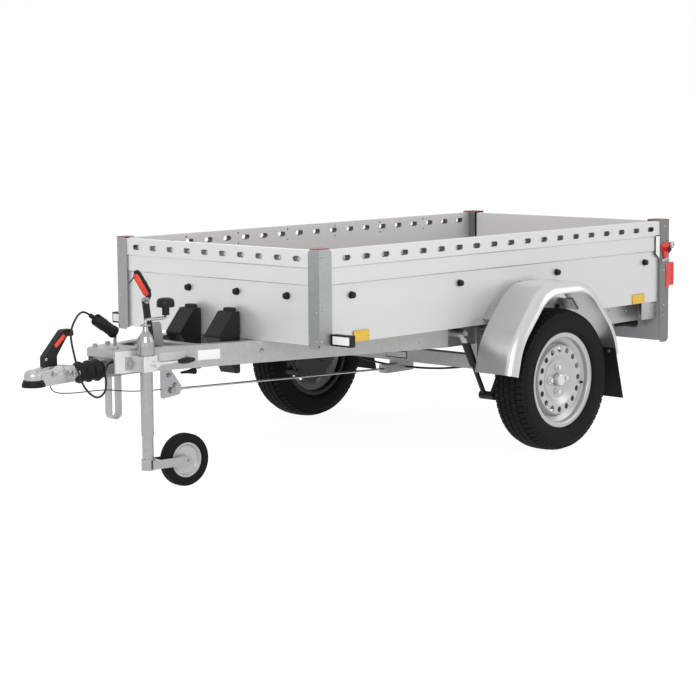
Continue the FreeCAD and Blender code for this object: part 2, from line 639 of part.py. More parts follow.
# Axle: square beam on brackets, trailing arms, stub axles and brake back plates
axle_bar = box("AxleBar", ("axle_square", "2 * axle_half", "axle_square"),
               ("axle_x - axle_square / 2", "-axle_half", "axle_height - axle_square / 2"))
hanger = box("Hanger", ("hanger_length", "hanger_thick", "beam_low - axle_height + hanger_lap"),
             ("axle_x - hanger_length / 2", "rail_half", "axle_height"))
saddle = box("Saddle", ("hanger_length", "beam_flange", "saddle_height"),
             ("axle_x - hanger_length / 2", "rail_half - beam_flange", "axle_height + axle_square / 2"))
nodes["axle_beam"] = fuse("Axle", axle_bar, hanger, across("HangerTwin", hanger),
                          saddle, across("SaddleTwin", saddle))
arm_plate = prism(
    "ArmPlate", "XZ",
    [("axle_x + arm_end", "axle_height - arm_end", "arm_round"),
     ("axle_x + arm_end", "axle_height + arm_end", "arm_round"),
     ("axle_x - arm_end", "axle_height + arm_end", "arm_round"),
     ("wheel_x - arm_eye", "tyre_radius + arm_eye", "arm_round"),
     ("wheel_x - arm_eye", "tyre_radius - arm_eye", "arm_round"),
     ("wheel_x + arm_eye", "tyre_radius - arm_eye")],
    "axle_half", "arm_thick")
spindle = rod("Spindle", "stub_radius",
              "plate_y + back_plate_thick + drum_gap + drum_width - stub_short - axle_half",
              ("wheel_x", "axle_half", "tyre_radius"), "Y")
boss = rod("ArmBoss", "arm_eye", "plate_y - axle_half - arm_thick",
           ("wheel_x", "axle_half + arm_thick", "tyre_radius"), "Y")
back_plate = rod("BackPlate", "drum_radius + back_plate_lip", "back_plate_thick",
                 ("wheel_x", "plate_y", "tyre_radius"), "Y")
damper_low = ("front_x - damper_low_setback", "axle_height - damper_low_drop")
damper_high = ("front_x - damper_high_setback", "floor_low - damper_high_drop")
damper_lever = fuse(
    "DamperLever", leaning("DamperLeverBar", "damper_lever", damper_low, ("axle_x", "axle_height"),
                           "axle_half + arm_thick / 2"),
    rod("DamperLeverEye", "damper_radius", "arm_thick", (damper_low[0], "axle_half", damper_low[1]), "Y"))
arm = fuse("Arm", arm_plate, boss, spindle, back_plate, damper_lever)
nodes["swing_arm_left"] = arm
nodes["swing_arm_right"] = across("ArmTwin", arm)
middle = tuple("((%s) + (%s)) / 2" % ends for ends in zip(damper_low, damper_high))
damper = fuse(
    "Damper", leaning("DamperRod", "damper_lever", damper_low, middle, "damper_y"),
    leaning("DamperBody", "damper_radius", middle, damper_high, "damper_y"),
    rod("DamperLowEye", "damper_radius", "axle_half - seat_gap - damper_y + damper_eye / 2",
        (damper_low[0], "damper_y - damper_eye / 2", damper_low[1]), "Y"),
    rod("DamperHighEye", "damper_radius", "damper_y + damper_eye / 2 - rail_half",
        (damper_high[0], "rail_half", damper_high[1]), "Y"))
nodes["shock_absorber_left"] = damper
nodes["shock_absorber_right"] = across("DamperTwin", damper)

# Wheels: tyre on a dropped-well rim with a pressed and vented disc
wheel_place = ("wheel_x", "wheel_y", "tyre_radius")
bead = "bead_radius + seat_gap"
wall_foot = "rim_flange_radius + flange_stand"
nodes["tyre_left"] = tyre = turned("Tyre", [
    (bead, "-half_rim"), (wall_foot, "-half_rim"), (wall_foot, "-half_tyre"),
    ("tyre_radius", "-half_tyre", "shoulder_round"), ("tyre_radius", "half_tyre", "shoulder_round"),
    (wall_foot, "half_tyre"), (wall_foot, "half_rim"), (bead, "half_rim")], wheel_place, "Y")
nodes["tyre_right"] = across("TyreTwin", tyre)


def mirrored(corners):
    """Corners of one half of a section followed by those of its mirrored half."""
    twin = [(corner[0], "-(%s)" % corner[1]) + tuple(corner[2:]) for corner in reversed(corners)]
    return list(corners) + twin


inner_side = mirrored([
    ("rim_flange_radius", "half_rim + rim_wall"),
    ("bead_radius - rim_wall", "half_rim + rim_wall", "rim_round"),
    ("bead_radius - rim_wall", "half_rim - bead_seat"), ("rim_well", "half_rim - bead_seat - well_slope")])
outer_side = mirrored([
    ("rim_flange_radius", "half_rim + seat_gap"),
    ("bead_radius", "half_rim + seat_gap"),
    ("bead_radius", "half_rim - bead_seat"), ("rim_well + rim_wall", "half_rim - bead_seat - well_slope")])
barrel = turned("Barrel", inner_side + list(reversed(outer_side)), wheel_place, "Y")
disc_line = [
    ("disc_bore", "disc_offset"), ("disc_dish", "disc_offset", "disc_round"),
    ("disc_step", "disc_offset + disc_rise", "disc_round"),
    ("vent_circle + vent_radius + vent_margin", "disc_offset + disc_rise"),
    ("rim_well", "disc_offset - disc_lip")]
disc_outline = disc_line + [(corner[0], "%s - disc_thick" % corner[1]) for corner in reversed(disc_line)]


def vented_disc():
    """Pressed disc turned about the wheel's axis, with a ring of vents."""
    body = turned("Disc", disc_outline, wheel_place, "Y")
    sketch = new_sketch(body, "XY_Plane", "Vent")
    centre = Vector(value("vent_circle"), 0, 0)
    sketch.addGeometry(Part.Circle(centre, Vector(0, 0, 1), value("vent_radius")), False)
    hold(sketch, "Radius", (0,), "vent_radius")
    place_point(sketch, 0, 3, "vent_circle", "0")
    hole = body.newObject("PartDesign::Pocket", "VentHole")
    hole.Profile = sketch
    hole.Type = "ThroughAll"
    hole.Midplane = True
    ring = body.newObject("PartDesign::PolarPattern", "VentRing")
    ring.Originals = [hole]
    ring.Axis = (origin_part(body, "Z_Axis"), [""])
    ring.Angle = 360
    bind(ring, "Occurrences", "vent_count")
    body.Tip = ring
    return body


rim = fuse("Rim", barrel, vented_disc())
nodes["rim_left"] = rim
nodes["rim_right"] = across("RimTwin", rim)
hub_place = ("wheel_x", "face_y", "tyre_radius")
drum = turned("Drum", [
    ("stub_radius + turn_gap", "-disc_thick - drum_width"), ("drum_radius", "-disc_thick - drum_width"),
    ("drum_radius", "-disc_thick", "drum_round"), ("stub_radius + turn_gap", "-disc_thick")], hub_place, "Y")
hub_cap = turned("HubCap", [
    ("0", "-disc_thick"), ("hub_radius", "-disc_thick"), ("hub_radius", "hub_cap_reach", "hub_cap_round"),
    ("0", "hub_cap_reach")], hub_place, "Y")
studs = []
for number in range(int(SIZES["bolt_count"])):
    angle = "360 * %d / bolt_count" % number
    studs.append(rod("Stud%d" % number, "bolt_head", "bolt_reach",
                     ("wheel_x + bolt_circle * sin(%s)" % angle, "face_y",
                      "tyre_radius + bolt_circle * cos(%s)" % angle), "Y"))
hub = fuse("Hub", drum, hub_cap, *studs)
nodes["hub_left"] = hub
nodes["hub_right"] = across("HubTwin", hub)


# Mudguards: a lipped sheet swept up the front leg, over the wheel and down the rear leg
def mudguard():
    """Body of the left mudguard."""
    body = doc.addObject("PartDesign::Body", "Guard")
    path = new_sketch(body, "XZ_Plane", "GuardPath")
    draw(path, [
        ("wheel_x + guard_toe", "tyre_radius + guard_toe_level"),
        ("wheel_x + guard_front", "tyre_radius + guard_shoulder", "guard_knee_round"),
        ("wheel_x + guard_top_half", "tyre_radius + guard_crown", "guard_crown_round"),
        ("wheel_x - guard_top_half", "tyre_radius + guard_crown", "guard_crown_round"),
        ("wheel_x - guard_front", "tyre_radius + guard_shoulder", "guard_knee_round"),
        ("wheel_x - guard_heel", "tyre_radius + guard_heel_level")], closed=False)
    section = new_sketch(body, "XY_Plane", "GuardSection", "0")
    section.AttachmentOffset = FreeCAD.Placement(Vector(), Vector(0, 1, 0), -1)
    bind(section, "AttachmentOffset.Rotation.Angle",
         "-atan2(guard_toe - guard_front; guard_shoulder - guard_toe_level)")
    bind(section, "AttachmentOffset.Base.x", "wheel_x + guard_toe")
    bind(section, "AttachmentOffset.Base.z", "tyre_radius + guard_toe_level")
    draw(section, [
        ("0", "guard_inner"), ("0", "guard_outer", "guard_round"), ("-guard_lip", "guard_outer"),
        ("-guard_lip", "guard_outer - guard_sheet"),
        ("-guard_sheet", "guard_outer - guard_sheet", "guard_round - guard_sheet"),
        ("-guard_sheet", "guard_inner")])
    sweep = body.newObject("PartDesign::AdditivePipe", "GuardSweep")
    sweep.Profile = section
    sweep.Spine = path
    return body


guard = mudguard()
nodes["fender_left"] = guard
nodes["fender_right"] = across("GuardTwin", guard)


def under_slant(along, depth):
    """Place at a distance up the front leg's slant and a depth under its sheet."""
    return ("wheel_x + guard_front - (%s) * slant_x - (%s) * slant_z" % (along, depth),
            "tyre_radius + guard_shoulder + (%s) * slant_z - (%s) * slant_x" % (along, depth))


def slant_strip(name, depth, width):
    """Strip of a bracket under the slanted sheet, outwards from the box's side."""
    under = "guard_sheet + seat_gap"
    stations = ("bracket_start", "bracket_start + bracket_length")
    corners = [under_slant(along, under) for along in stations]
    corners += [under_slant(along, under + " + " + depth) for along in reversed(stations)]
    return prism(name, "XZ", corners, "skin_y", width)


lap_width = "guard_inner + bracket_lap - skin_y"
front_bracket = fuse("FrontBracket", slant_strip("FrontFlange", "bracket_thick", lap_width),
                     slant_strip("FrontWeb", "bracket_height", "bracket_thick"))
rear_bracket = across("RearBracket", front_bracket, Vector(1, 0, 0), "wheel_x")
crown_low = "tyre_radius + guard_crown - guard_sheet - seat_gap"
top_bracket = fuse(
    "TopBracket", box("TopFlange", ("bracket_length", lap_width, "bracket_thick"),
                      ("wheel_x - bracket_length / 2", "skin_y", crown_low + " - bracket_thick")),
    box("TopWeb", ("bracket_length", "bracket_thick", "bracket_height"),
        ("wheel_x - bracket_length / 2", "skin_y", crown_low + " - bracket_height")))
brackets = [cut("%sNotched" % item.Name, item, nodes["side_panel_left"])
            for item in (front_bracket, rear_bracket, top_bracket)]
nodes["fender_brackets"] = pair("AllBrackets", group("Brackets", *brackets))


def guard_back(level):
    """Place along the trailer of the rear leg's inner edge at a height above the wheel's centre."""
    return ("(wheel_x - guard_heel + (%s - guard_heel_level) * heel_slope"
            " + guard_lip * sqrt(1 + heel_slope^2) + seat_gap)" % level)


flap_top = "(guard_heel_level + flap_lap)"
flap_end = "(flap_bottom - tyre_radius)"
flap = prism("Flap", "XZ", [
    (guard_back(flap_top), "tyre_radius + " + flap_top), (guard_back(flap_end), "flap_bottom"),
    (guard_back(flap_end) + " + flap_thick", "flap_bottom"),
    (guard_back(flap_top) + " + flap_thick", "tyre_radius + " + flap_top)],
    "guard_inner + flap_inset", "guard_width - flap_inset")
nodes["mudflaps"] = pair("Flaps", flap)


# Coupling, overrun housing and bellows on the trailer's middle line
def housing_flange(name, front):
    """Plate across the drawbar between its webs, from a front face backwards."""
    back = front + " - flange_thick"
    near, far = ["(%s - beam_wall)" % beam_line(x) for x in (front, back)]
    return prism(name, "XY", [(front, near), (back, far), (back, "-" + far), (front, "-" + near)],
                 "beam_low + beam_wall", "beam_height - 2 * beam_wall")


housing = fuse(
    "Housing", rod("HousingTube", "housing_radius", "bellows_start - housing_end",
                   ("front_x + housing_end", "0", "coupling_height"), "X"),
    housing_flange("FrontFlange", "front_x + flange_face"),
    housing_flange("RearFlange", "front_x + housing_end + flange_inset"))
nodes["overrun_housing"] = housing
plate_back = "nose_x - nose_plate_length"
plate_plan = prism("NosePlan", "XY", [
    ("nose_x + nose_plate_thick", "nose_half"), ("nose_x", "nose_half"), (plate_back, beam_line(plate_back)),
    (plate_back, "-" + beam_line(plate_back)), ("nose_x", "-nose_half"),
    ("nose_x + nose_plate_thick", "-nose_half")],
    "floor_low - nose_lip", "nose_lip + nose_plate_thick")
plate_side = prism("NoseSide", "XZ", [
    (plate_back, "floor_low"), (plate_back, "floor_low + nose_plate_thick"),
    ("nose_x + nose_plate_thick", "floor_low + nose_plate_thick", "nose_round"),
    ("nose_x + nose_plate_thick", "floor_low - nose_lip"), ("nose_x", "floor_low - nose_lip"),
    ("nose_x", "floor_low")],
    "-" + beam_line(plate_back), "2 * " + beam_line(plate_back))
nuts = []
for number, side in enumerate((1, -1, 1, -1)):
    station = "nose_x - nut_back - %d * nut_pitch" % (number // 2)
    nuts.append(hexagon("Nut%d" % number, "nut_radius", "nut_height",
                        (station, "%d * (%s - beam_flange / 2)" % (side, beam_line(station)),
                         "floor_low + nose_plate_thick")))
nodes["drawbar_plate"] = fuse("NosePlate", common("NoseFolded", plate_side, plate_plan), *nuts)


def pressed_head():
    """Body of the coupling's neck, lofted from the collar to the casing round the ball."""
    body = doc.addObject("PartDesign::Body", "Neck")
    near = new_sketch(body, "YZ_Plane", "NeckNear", "head_back")
    far = new_sketch(body, "YZ_Plane", "NeckFar", "ball_x")
    for sketch, half, low, high in (
            (near, "neck_half", "coupling_height - head_drop", "coupling_height + head_rise"),
            (far, "head_half", "socket_bottom + seat_gap", "coupling_height + head_drop")):
        draw(sketch, [("-%s" % half, low), (half, low), (half, high, "neck_round"),
                      ("-%s" % half, high, "neck_round")])
    loft = body.newObject("PartDesign::AdditiveLoft", "NeckLoft")
    loft.Profile = near
    loft.Sections = [far]
    return body


neck = pressed_head()
crest = prism("Crest", "XZ", [
    ("head_back", "coupling_height"), ("head_back", "coupling_height + head_rise"),
    ("ball_x - crest_setback", "coupling_height + head_crest", "head_crest"),
    ("ball_x - casing_front", "coupling_height + head_crest"), ("ball_x", "coupling_height + head_drop"),
    ("ball_x", "coupling_height")], "-neck_half + neck_round", "2 * (neck_half - neck_round)")
dome = turned("Dome", [
    ("0", "0"), ("ball_radius + head_shell", "0"), ("ball_radius + head_shell", "dome_height", "dome_round"),
    ("0", "dome_height")], ("ball_x", "0", "socket_bottom"))
socket = rod("Socket", "ball_radius + ball_gap", "socket_depth + cut_margin",
             ("ball_x", "0", "socket_bottom - cut_margin"))
shaft = rod("Shaft", "shaft_radius", "head_back - front_x - bellows_start",
            ("front_x + bellows_start", "0", "coupling_height"), "X")
nodes["coupling_head"] = cut("Head", fuse("HeadBlank", neck, crest, dome, shaft), socket)
soft_cap = turned("SoftCap", [
    ("ball_radius + head_shell + seat_gap", "0"), ("cap_radius", "0"), ("cap_radius", "cap_rim"),
    ("ball_radius + head_shell + seat_gap + cap_clearance", "cap_height"),
    ("ball_radius + head_shell + seat_gap", "cap_height")], ("ball_x", "0", "socket_bottom"))
nodes["coupling_cap"] = cut("SoftCapFitted", soft_cap, neck)
handle_front = "ball_x - cap_radius"
handle_back = handle_front + " - handle_foot"
handle_tip = handle_front + " - handle_reach"
handle_high = "head_top + handle_rise"
nodes["coupling_lever"] = prism("Handle", "XZ", [
    (handle_back, "head_top"), (handle_front, "head_top"),
    (handle_front, "head_top + handle_foot_rise", "handle_round"),
    (handle_front + " - handle_slope", handle_high, "2 * handle_round"),
    (handle_tip, handle_high, "handle_round"), (handle_tip, handle_high + " - handle_depth"),
    (handle_front + " - handle_slope - handle_bend", handle_high + " - handle_depth", "handle_round"),
    (handle_back, "head_top + handle_foot_rise", "handle_round")], "-handle_thick / 2", "handle_thick")
bellows_line = []
for number in range(int(SIZES["fold_count"])):
    bellows_line += [("bellows_radius - fold_depth", "%d * fold" % number),
                     ("bellows_radius", "(%d + 1 / 2) * fold" % number, "fold_round")]
bellows_line += [("bellows_radius - fold_depth", "fold_count * fold"),
                 ("shaft_radius + seat_gap", "fold_count * fold"), ("shaft_radius + seat_gap", "0")]
nodes["drawbar_bellows"] = turned("Bellows", bellows_line,
                                  ("front_x + bellows_start", "0", "coupling_height"), "X")


# Rest hoop under the housing
def hoop_block(name, grow, stand):
    """Upright slot shape with a round lower end, wider than the hoop by a stand on each side."""
    half = "(hoop_gap / 2 + %s)" % grow
    centre = "hoop_bottom + hoop_thick + hoop_gap / 2"
    start = "-hoop_width / 2 - %s" % stand
    wide = "hoop_width + 2 * %s" % stand
    tall = "coupling_height - hoop_lap - (%s)" % centre
    return fuse(name, box(name + "Straight", ("2 * " + half, wide, tall),
                          ("front_x + hoop_x - " + half, start, centre)),
                rod(name + "Round", half, wide, ("front_x + hoop_x", start, centre), "Y"))


hoop_seat = rod("HoopSeat", "housing_radius", "4 * hoop_gap", ("front_x + hoop_x - 2 * hoop_gap", "0",
                                                             "coupling_height"), "X")
nodes["rest_hoop"] = cut("Hoop", hoop_block("HoopOuter", "hoop_thick", "0"),
                         hoop_block("HoopInner", "0", "hoop_thick"), hoop_seat)

# Handbrake, linkage, rod, equaliser and cables
pivot = ("front_x + lever_pivot_x", "lever_pivot_z")
top = ("front_x + lever_top_x", "lever_top_z")
grip_foot = (top[0] + " - grip_back", top[1] + " + joint_length - joint_radius")
flat_bar = prism("HandbrakeBar", "XZ", [
    (pivot[0] + " - lever_bar / 2", pivot[1]), (pivot[0] + " + lever_bar / 2", pivot[1]),
    (top[0] + " + lever_bar / 2", top[1]), (top[0] + " - lever_bar / 2", top[1])],
    "lever_y - lever_flat / 2", "lever_flat")
grip = turned("HandbrakeGrip", [
    ("0", "0"), ("grip_radius", "0", "grip_round"), ("grip_radius", "grip_length", "grip_round"),
    ("button_radius", "grip_length"), ("button_radius", "grip_length + button_length"),
    ("0", "grip_length + button_length")])
nodes["handbrake_lever"] = fuse(
    "Handbrake", flat_bar, leaning("HandbrakeJoint", "joint_radius", (top[0], top[1] + " - joint_radius"),
                                   grip_foot, "lever_y"),
    lean(grip, "grip_lean", (grip_foot[0], "lever_y", grip_foot[1] + " - joint_radius / 2")),
    rod("HandbrakeBoss", "lever_boss", "lever_y - plate_half", (pivot[0], "plate_half", pivot[1]), "Y"))
quadrant = prism("Quadrant", "XZ", [
    ("front_x + plate_back", "coupling_height"), ("front_x + plate_front", "coupling_height"),
    ("front_x + plate_front", "lever_pivot_z + plate_step", "plate_round"),
    ("front_x + (plate_back + plate_front) / 2", "coupling_height + plate_rise", "plate_round"),
    ("front_x + plate_back + plate_step", "coupling_height + plate_rise", "plate_round"),
    ("front_x + plate_back", "lever_pivot_z - plate_step")], "-plate_half", "2 * plate_half")
nodes["handbrake_bracket"] = cut("Bracket", quadrant, housing)
link_top = "beam_low + beam_wall"
nodes["brake_linkage"] = prism("Linkage", "XZ", [
    ("front_x + link_x - link_half + link_round", "rod_front_z - 2 * link_round", "link_round"),
    ("front_x + link_x - link_half", "rod_front_z + link_round", "link_round"),
    ("front_x + link_x + 2 * link_round", link_top), ("front_x + link_x + link_half", link_top),
    ("front_x + link_x + link_half", "rod_front_z - link_drop", "link_round")],
    "rod_radius + link_gap", "link_thick")
rod_ends = (("front_x + rod_rear_x", "rod_rear_z"), ("front_x + rod_front_x", "rod_front_z"))
brake_rod = fuse("BrakeRodBlank", leaning("BrakeRodBar", "rod_radius", rod_ends[0], rod_ends[1], "0"),
                 rod("BrakeRodPin", "rod_radius", "rod_radius + link_thick + link_gap",
                     (rod_ends[1][0], "0", rod_ends[1][1]), "Y"))
equaliser = fuse(
    "Equaliser", box("EqualiserBox", ("equal_length", "equal_width", "equal_height"),
                     ("front_x + rod_rear_x - equal_length", "-equal_width / 2",
                      "rod_rear_z - equal_height / 2")),
    box("EqualiserHanger", ("axle_square", "equal_width", "axle_height - axle_square / 2 - rod_rear_z"),
        ("axle_x - axle_square / 2", "-equal_width / 2", "rod_rear_z")))
nodes["brake_equaliser"] = equaliser
nodes["brake_rod"] = cut("BrakeRod", brake_rod, equaliser)


def route(corners):
    """Points of a cable: behind the front panel's plane or ahead of it, sideways, and up."""
    return [Vector(value("front_x + %g" % x), y, z) for x, y, z in corners]


brake_cable = tube_along("BrakeCable", route([
    (-1100, 23.6, 298), (-1104, 120, 299), (-1116, 230, 306), (-1136, 340, 322), (-1160, 445, 346),
    (-1180, 540, 370), (-1190, 610, 381), (-1192, 669.4, 383)]), SIZES["cable_diameter"])
nodes["brake_cables"] = pair("BrakeCables", brake_cable)

# Jockey wheel: clamp, outer tube and crank on the drawbar; leg, fork and wheel move
clamp_face = "jockey_y + jockey_tube_radius + clamp_wall"
clamp_ends = ("leg_x + clamp_half", "leg_x - clamp_half")
clamp_block = prism("ClampBlock", "XY", [
    (clamp_ends[0], beam_line(clamp_ends[0])), (clamp_ends[1], beam_line(clamp_ends[1])),
    (clamp_ends[1], clamp_face, "clamp_wall"), (clamp_ends[0], clamp_face, "clamp_wall")],
    "clamp_bottom", "clamp_height")
clamp_hole = rod("ClampHole", "jockey_tube_radius + seat_gap", "3 * clamp_height",
                 ("leg_x", "jockey_y", "clamp_bottom - clamp_height"))
screw_x = "leg_x - clamp_half / 2"
screw_z = "clamp_bottom + clamp_level"
clamp_boss = rod("ClampBoss", "clamp_boss", "clamp_screw", (screw_x, clamp_face, screw_z), "Y")
clamp_rod = rod("ClampRod", "clamp_rod", "clamp_reach",
                (screw_x + " - clamp_reach", clamp_face + " + clamp_screw / 2", screw_z), "X")
clamp_grip = turned("ClampGrip", [
    ("0", "0"), ("clamp_grip_radius", "0", "clamp_grip_round"),
    ("clamp_grip_radius", "clamp_grip", "clamp_grip_round"), ("0", "clamp_grip")],
    (screw_x + " - clamp_reach - clamp_grip", clamp_face + " + clamp_screw / 2", screw_z), "X")
nodes["jockey_clamp"] = fuse("Clamp", cut("ClampHoled", clamp_block, clamp_hole), clamp_boss, clamp_rod,
                             clamp_grip)
bore = "jockey_tube_radius - jockey_tube_wall"
nodes["jockey_tube"] = turned("LegTube", [
    (bore, "jockey_tube_bottom"), ("jockey_tube_radius", "jockey_tube_bottom"),
    ("jockey_tube_radius", "jockey_head_low"), ("jockey_head_radius", "jockey_head_low"),
    ("jockey_head_radius", "jockey_head_top"), ("jockey_cone_radius", "jockey_head_top + jockey_cone_height"),
    ("jockey_neck_radius", "jockey_head_top + 2 * jockey_cone_height"),
    ("jockey_neck_radius - jockey_neck_taper", "jockey_neck_top"), ("0", "jockey_neck_top"),
    ("0", "jockey_head_top"), (bore, "jockey_head_top")], ("leg_x", "jockey_y", "0"))
knob_x = "leg_x - crank_reach"
knob_low = "knob_stem_rise + knob_stem_length"
crank_knob = turned("CrankKnob", [
    ("0", "knob_stem_rise"), ("knob_stem", "knob_stem_rise"), ("knob_stem", knob_low),
    ("knob_radius", knob_low, "knob_edge"), ("knob_radius", knob_low + " + knob_rim", "knob_round"),
    ("0", knob_low + " + knob_height")], (knob_x, "jockey_y", "crank_level"))
crank_bar = bent_rod("CrankBar", [
    ("leg_x", "jockey_neck_top + seat_gap"), ("leg_x", "crank_level", "crank_round"),
    (knob_x, "crank_level", "crank_round"), (knob_x, "crank_level + knob_stem_rise + crank_radius")],
    "crank_radius", "jockey_y")
nodes["jockey_crank"] = fuse("CrankSet", crank_bar, crank_knob)
nodes["jockey_leg"] = turned("Leg", [
    ("leg_radius - jockey_tube_wall", "leg_bottom"), ("leg_radius", "leg_bottom"), ("leg_radius", "leg_top"),
    ("leg_radius - jockey_tube_wall", "leg_top")], ("leg_x", "jockey_y", "0"))


def swivel(item):
    """Turns a piece built about the leg's axis to the fork's rest angle."""
    item.Placement = FreeCAD.Placement(Vector(), Vector(0, 0, 1), -1)
    bind(item, "Placement.Rotation.Angle", "-jockey_swivel")
    put(item, ("leg_x", "jockey_y", "0"))
    return item


fork_low = "jockey_wheel_radius - fork_height / 2"
collar_blank = rod("CollarBlank", "leg_radius + fork_sheet", "collar_height", ("0", "0", "leg_bottom"))
collar = cut("Collar", collar_blank,
             rod("CollarBore", "leg_radius + turn_gap", "3 * collar_height", ("0", "0", "0")))
cheeks = []
for name, low in (("CheekLeft", "cheek"), ("CheekRight", "-cheek - fork_sheet")):
    rear_end = "-jockey_trail - fork_height / 2"
    cheeks.append(prism(name, "XZ", [
        (rear_end, fork_low, "fork_round"), ("0", fork_low), ("0", fork_low + " + fork_height"),
        (rear_end, fork_low + " + fork_height", "fork_round")], low, "fork_sheet"))
bridge = cut("Bridge", box("BridgeBlank", ("bridge_length", "2 * cheek", "fork_height"),
                           ("-bridge_front - bridge_length", "-cheek", fork_low)),
             rod("BridgeBore", "leg_radius + fork_sheet", "3 * collar_height", ("0", "0", "0")))
pin = rod("WheelPin", "pin_radius", "2 * (cheek + fork_sheet + pin_reach)",
          ("-jockey_trail", "-cheek - fork_sheet - pin_reach", "jockey_wheel_radius"), "Y")
nodes["jockey_fork"] = swivel(fuse("Fork", collar, bridge, pin, *cheeks))
small_place = ("-jockey_trail", "0", "jockey_wheel_radius")
small_rim = turned("SmallRim", list(reversed(mirrored([
    ("pin_radius + turn_gap", "small_half"), ("small_hub", "small_half"), ("small_web", "small_web_half"),
    ("small_rim", "small_web_half", "small_wall"), ("small_bead - small_wall", "small_bead_half"),
    ("small_bead", "small_bead_half")]))), small_place, "Y")
small_tyre = turned("SmallTyre", list(reversed(mirrored([
    ("small_bead + seat_gap", "small_bead_half"), ("small_bead + small_wall", "small_half"),
    ("jockey_wheel_radius", "small_half", "small_round")]))), small_place, "Y")
nodes["jockey_rim"] = swivel(group("SmallRims", small_rim))
nodes["jockey_tyre"] = swivel(group("SmallTyres", small_tyre))

# Chocks, lamps, reflectors and knobs
chock_back = "front_x + chock_seat"
chock_top = "chock_low + chock_height"
chock_body = prism("ChockBody", "XZ", [
    (chock_back, "chock_low", "chock_round"), (chock_back + " + chock_tip", "chock_low", "chock_round"),
    (chock_back + " + chock_depth - chock_tip", "chock_low + chock_heel"),
    (chock_back + " + chock_depth", "chock_low + chock_peak", "chock_round"),
    (chock_back + " + chock_neck", chock_top, "chock_round"), (chock_back, chock_top)],
    "chock_y - chock_width / 2", "chock_width")
chock_grip = prism("ChockGrip", "YZ", [
    ("chock_y - chock_grip_width / 2", chock_top + " - chock_grip_rise"),
    ("chock_y + chock_grip_width / 2", chock_top + " - chock_grip_rise"),
    ("chock_y + chock_grip_width / 2", chock_top + " + chock_grip_rise", "chock_round"),
    ("chock_y - chock_grip_width / 2", chock_top + " + chock_grip_rise", "chock_round")],
    chock_back, "chock_grip_depth")
nodes["wheel_chocks"] = pair("Chocks", fuse("Chock", chock_body, chock_grip))
holder = box("Holder", (chock_back + " - skin_x", "2 * holder_half", "chock_low + chock_peak - beam_low"),
             ("skin_x", "chock_y - holder_half", "beam_low"))
nodes["chock_holders"] = pair("Holders", holder)
marker_x = "front_x - marker_back - marker_depth"
marker = fuse("Marker", box("MarkerLens", ("marker_depth", "marker_width", "marker_height"),
                            (marker_x, "half_width + marker_reach", "floor_low")),
              box("MarkerArm", ("marker_depth", "marker_reach", "marker_height - 2 * marker_arm_inset"),
                  (marker_x, "half_width", "floor_low + marker_arm_inset")))
nodes["marker_lamps"] = pair("Markers", marker)
plates = [box(name, ("reflector_width", "reflector_thick", "reflector_height"),
              (station, "skin_y", "floor_low + reflector_lift"))
          for name, station in (("FrontReflector", "front_x - reflector_front - reflector_width"),
                                ("RearReflector", "rear_x + reflector_rear"))]
nodes["side_reflectors"] = pair("Reflectors", group("SideReflectors", *plates))
side_hooks = []
front_hooks = []
for number in range(int(SIZES["knob_count"])):
    hook_x = "front_x - knob_start - %d * knob_pitch" % number
    side_hooks.append(rod("SideHook%d" % number, "hook_radius", "hook_length",
                          (hook_x, "skin_y", "knob_level"), "Y"))
    hook_y = "front_knob_start + %d * front_knob_pitch" % number
    front_hooks.append(rod("FrontHook%d" % number, "hook_radius", "hook_length",
                           ("skin_x", hook_y, "knob_level"), "X"))
nodes["tarp_knobs"] = group("Hooks", pair("SideHooks", group("SideHookRow", *side_hooks)), *front_hooks)
lamp_inner = "half_width - lamp_width"
lamp_low = "floor_low + lamp_rise"
lamp_high = lamp_low + " + lamp_height"
lamp = prism("Lamp", "YZ", [
    (lamp_inner, lamp_low, "lamp_round"), ("half_width", lamp_low, "lamp_round"),
    ("half_width", lamp_high, "lamp_round"), (lamp_inner, lamp_high, "lamp_round")],
    "rear_x - lamp_depth", "lamp_depth")
nodes["rear_lamps"] = pair("Lamps", lamp)

# Light plug in its holder, its lead and the breakaway wire
plug_place = ("front_x + plug_x", "plug_y", "plug_z")
plug = turned("Plug", [
    ("0", "0"), ("gland_radius", "0", "plug_round"), ("gland_radius", "plug_neck"),
    ("plug_radius", "plug_shoulder", "plug_round"), ("plug_radius", "plug_length"), ("0", "plug_length")])
nodes["light_plug"] = lean(plug, "180 + plug_lean", plug_place)
cup = turned("PlugCup", [
    ("0", "plug_length"), ("plug_radius + cup_wall", "plug_length"),
    ("plug_radius + cup_wall", "plug_length + cup_length", "plug_round"), ("0", "plug_length + cup_length")])
mouth_x = "front_x + plug_x - plug_length * sin(plug_lean)"
mouth_z = "plug_z - plug_length * cos(plug_lean)"
stem = box("PlugStem", ("stem_width", "stem_thick", "%s - floor_low - nose_plate_thick" % mouth_z),
           ("%s - stem_back" % mouth_x, "plug_y", "floor_low + nose_plate_thick"))
nodes["plug_holder"] = fuse("PlugHolder", lean(cup, "180 + plug_lean", plug_place), stem)
nodes["light_cable"] = tube_along("Lead", route([
    (583, -50, 655), (608.2, -50, 671.4), (646, -36, 669), (696, -4, 647), (736, 24, 618), (752, 42, 588),
    (752, 54, 545), (744, 60, 500), (734, 62, 455), (714, 62, 412), (680, 60, 376), (640, 57, 358),
    (606, 56, 378), (600, 56, 415), (606, 56, 444), (603, 56, 467), (587, 55, 484), (561, 55, 489)]),
    SIZES["lead_diameter"])
nodes["breakaway_cable"] = tube_along("Breakaway", route([
    (292, 9.5, 350), (345, 12, 351), (400, 18, 356), (455, 26, 362), (512, 30, 370), (570, 32, 381),
    (628, 34, 385), (686, 36, 386), (742, 37, 388), (786, 34, 391), (818, 28, 397), (833, 22, 410),
    (836, 20, 425)]), SIZES["wire_diameter"])

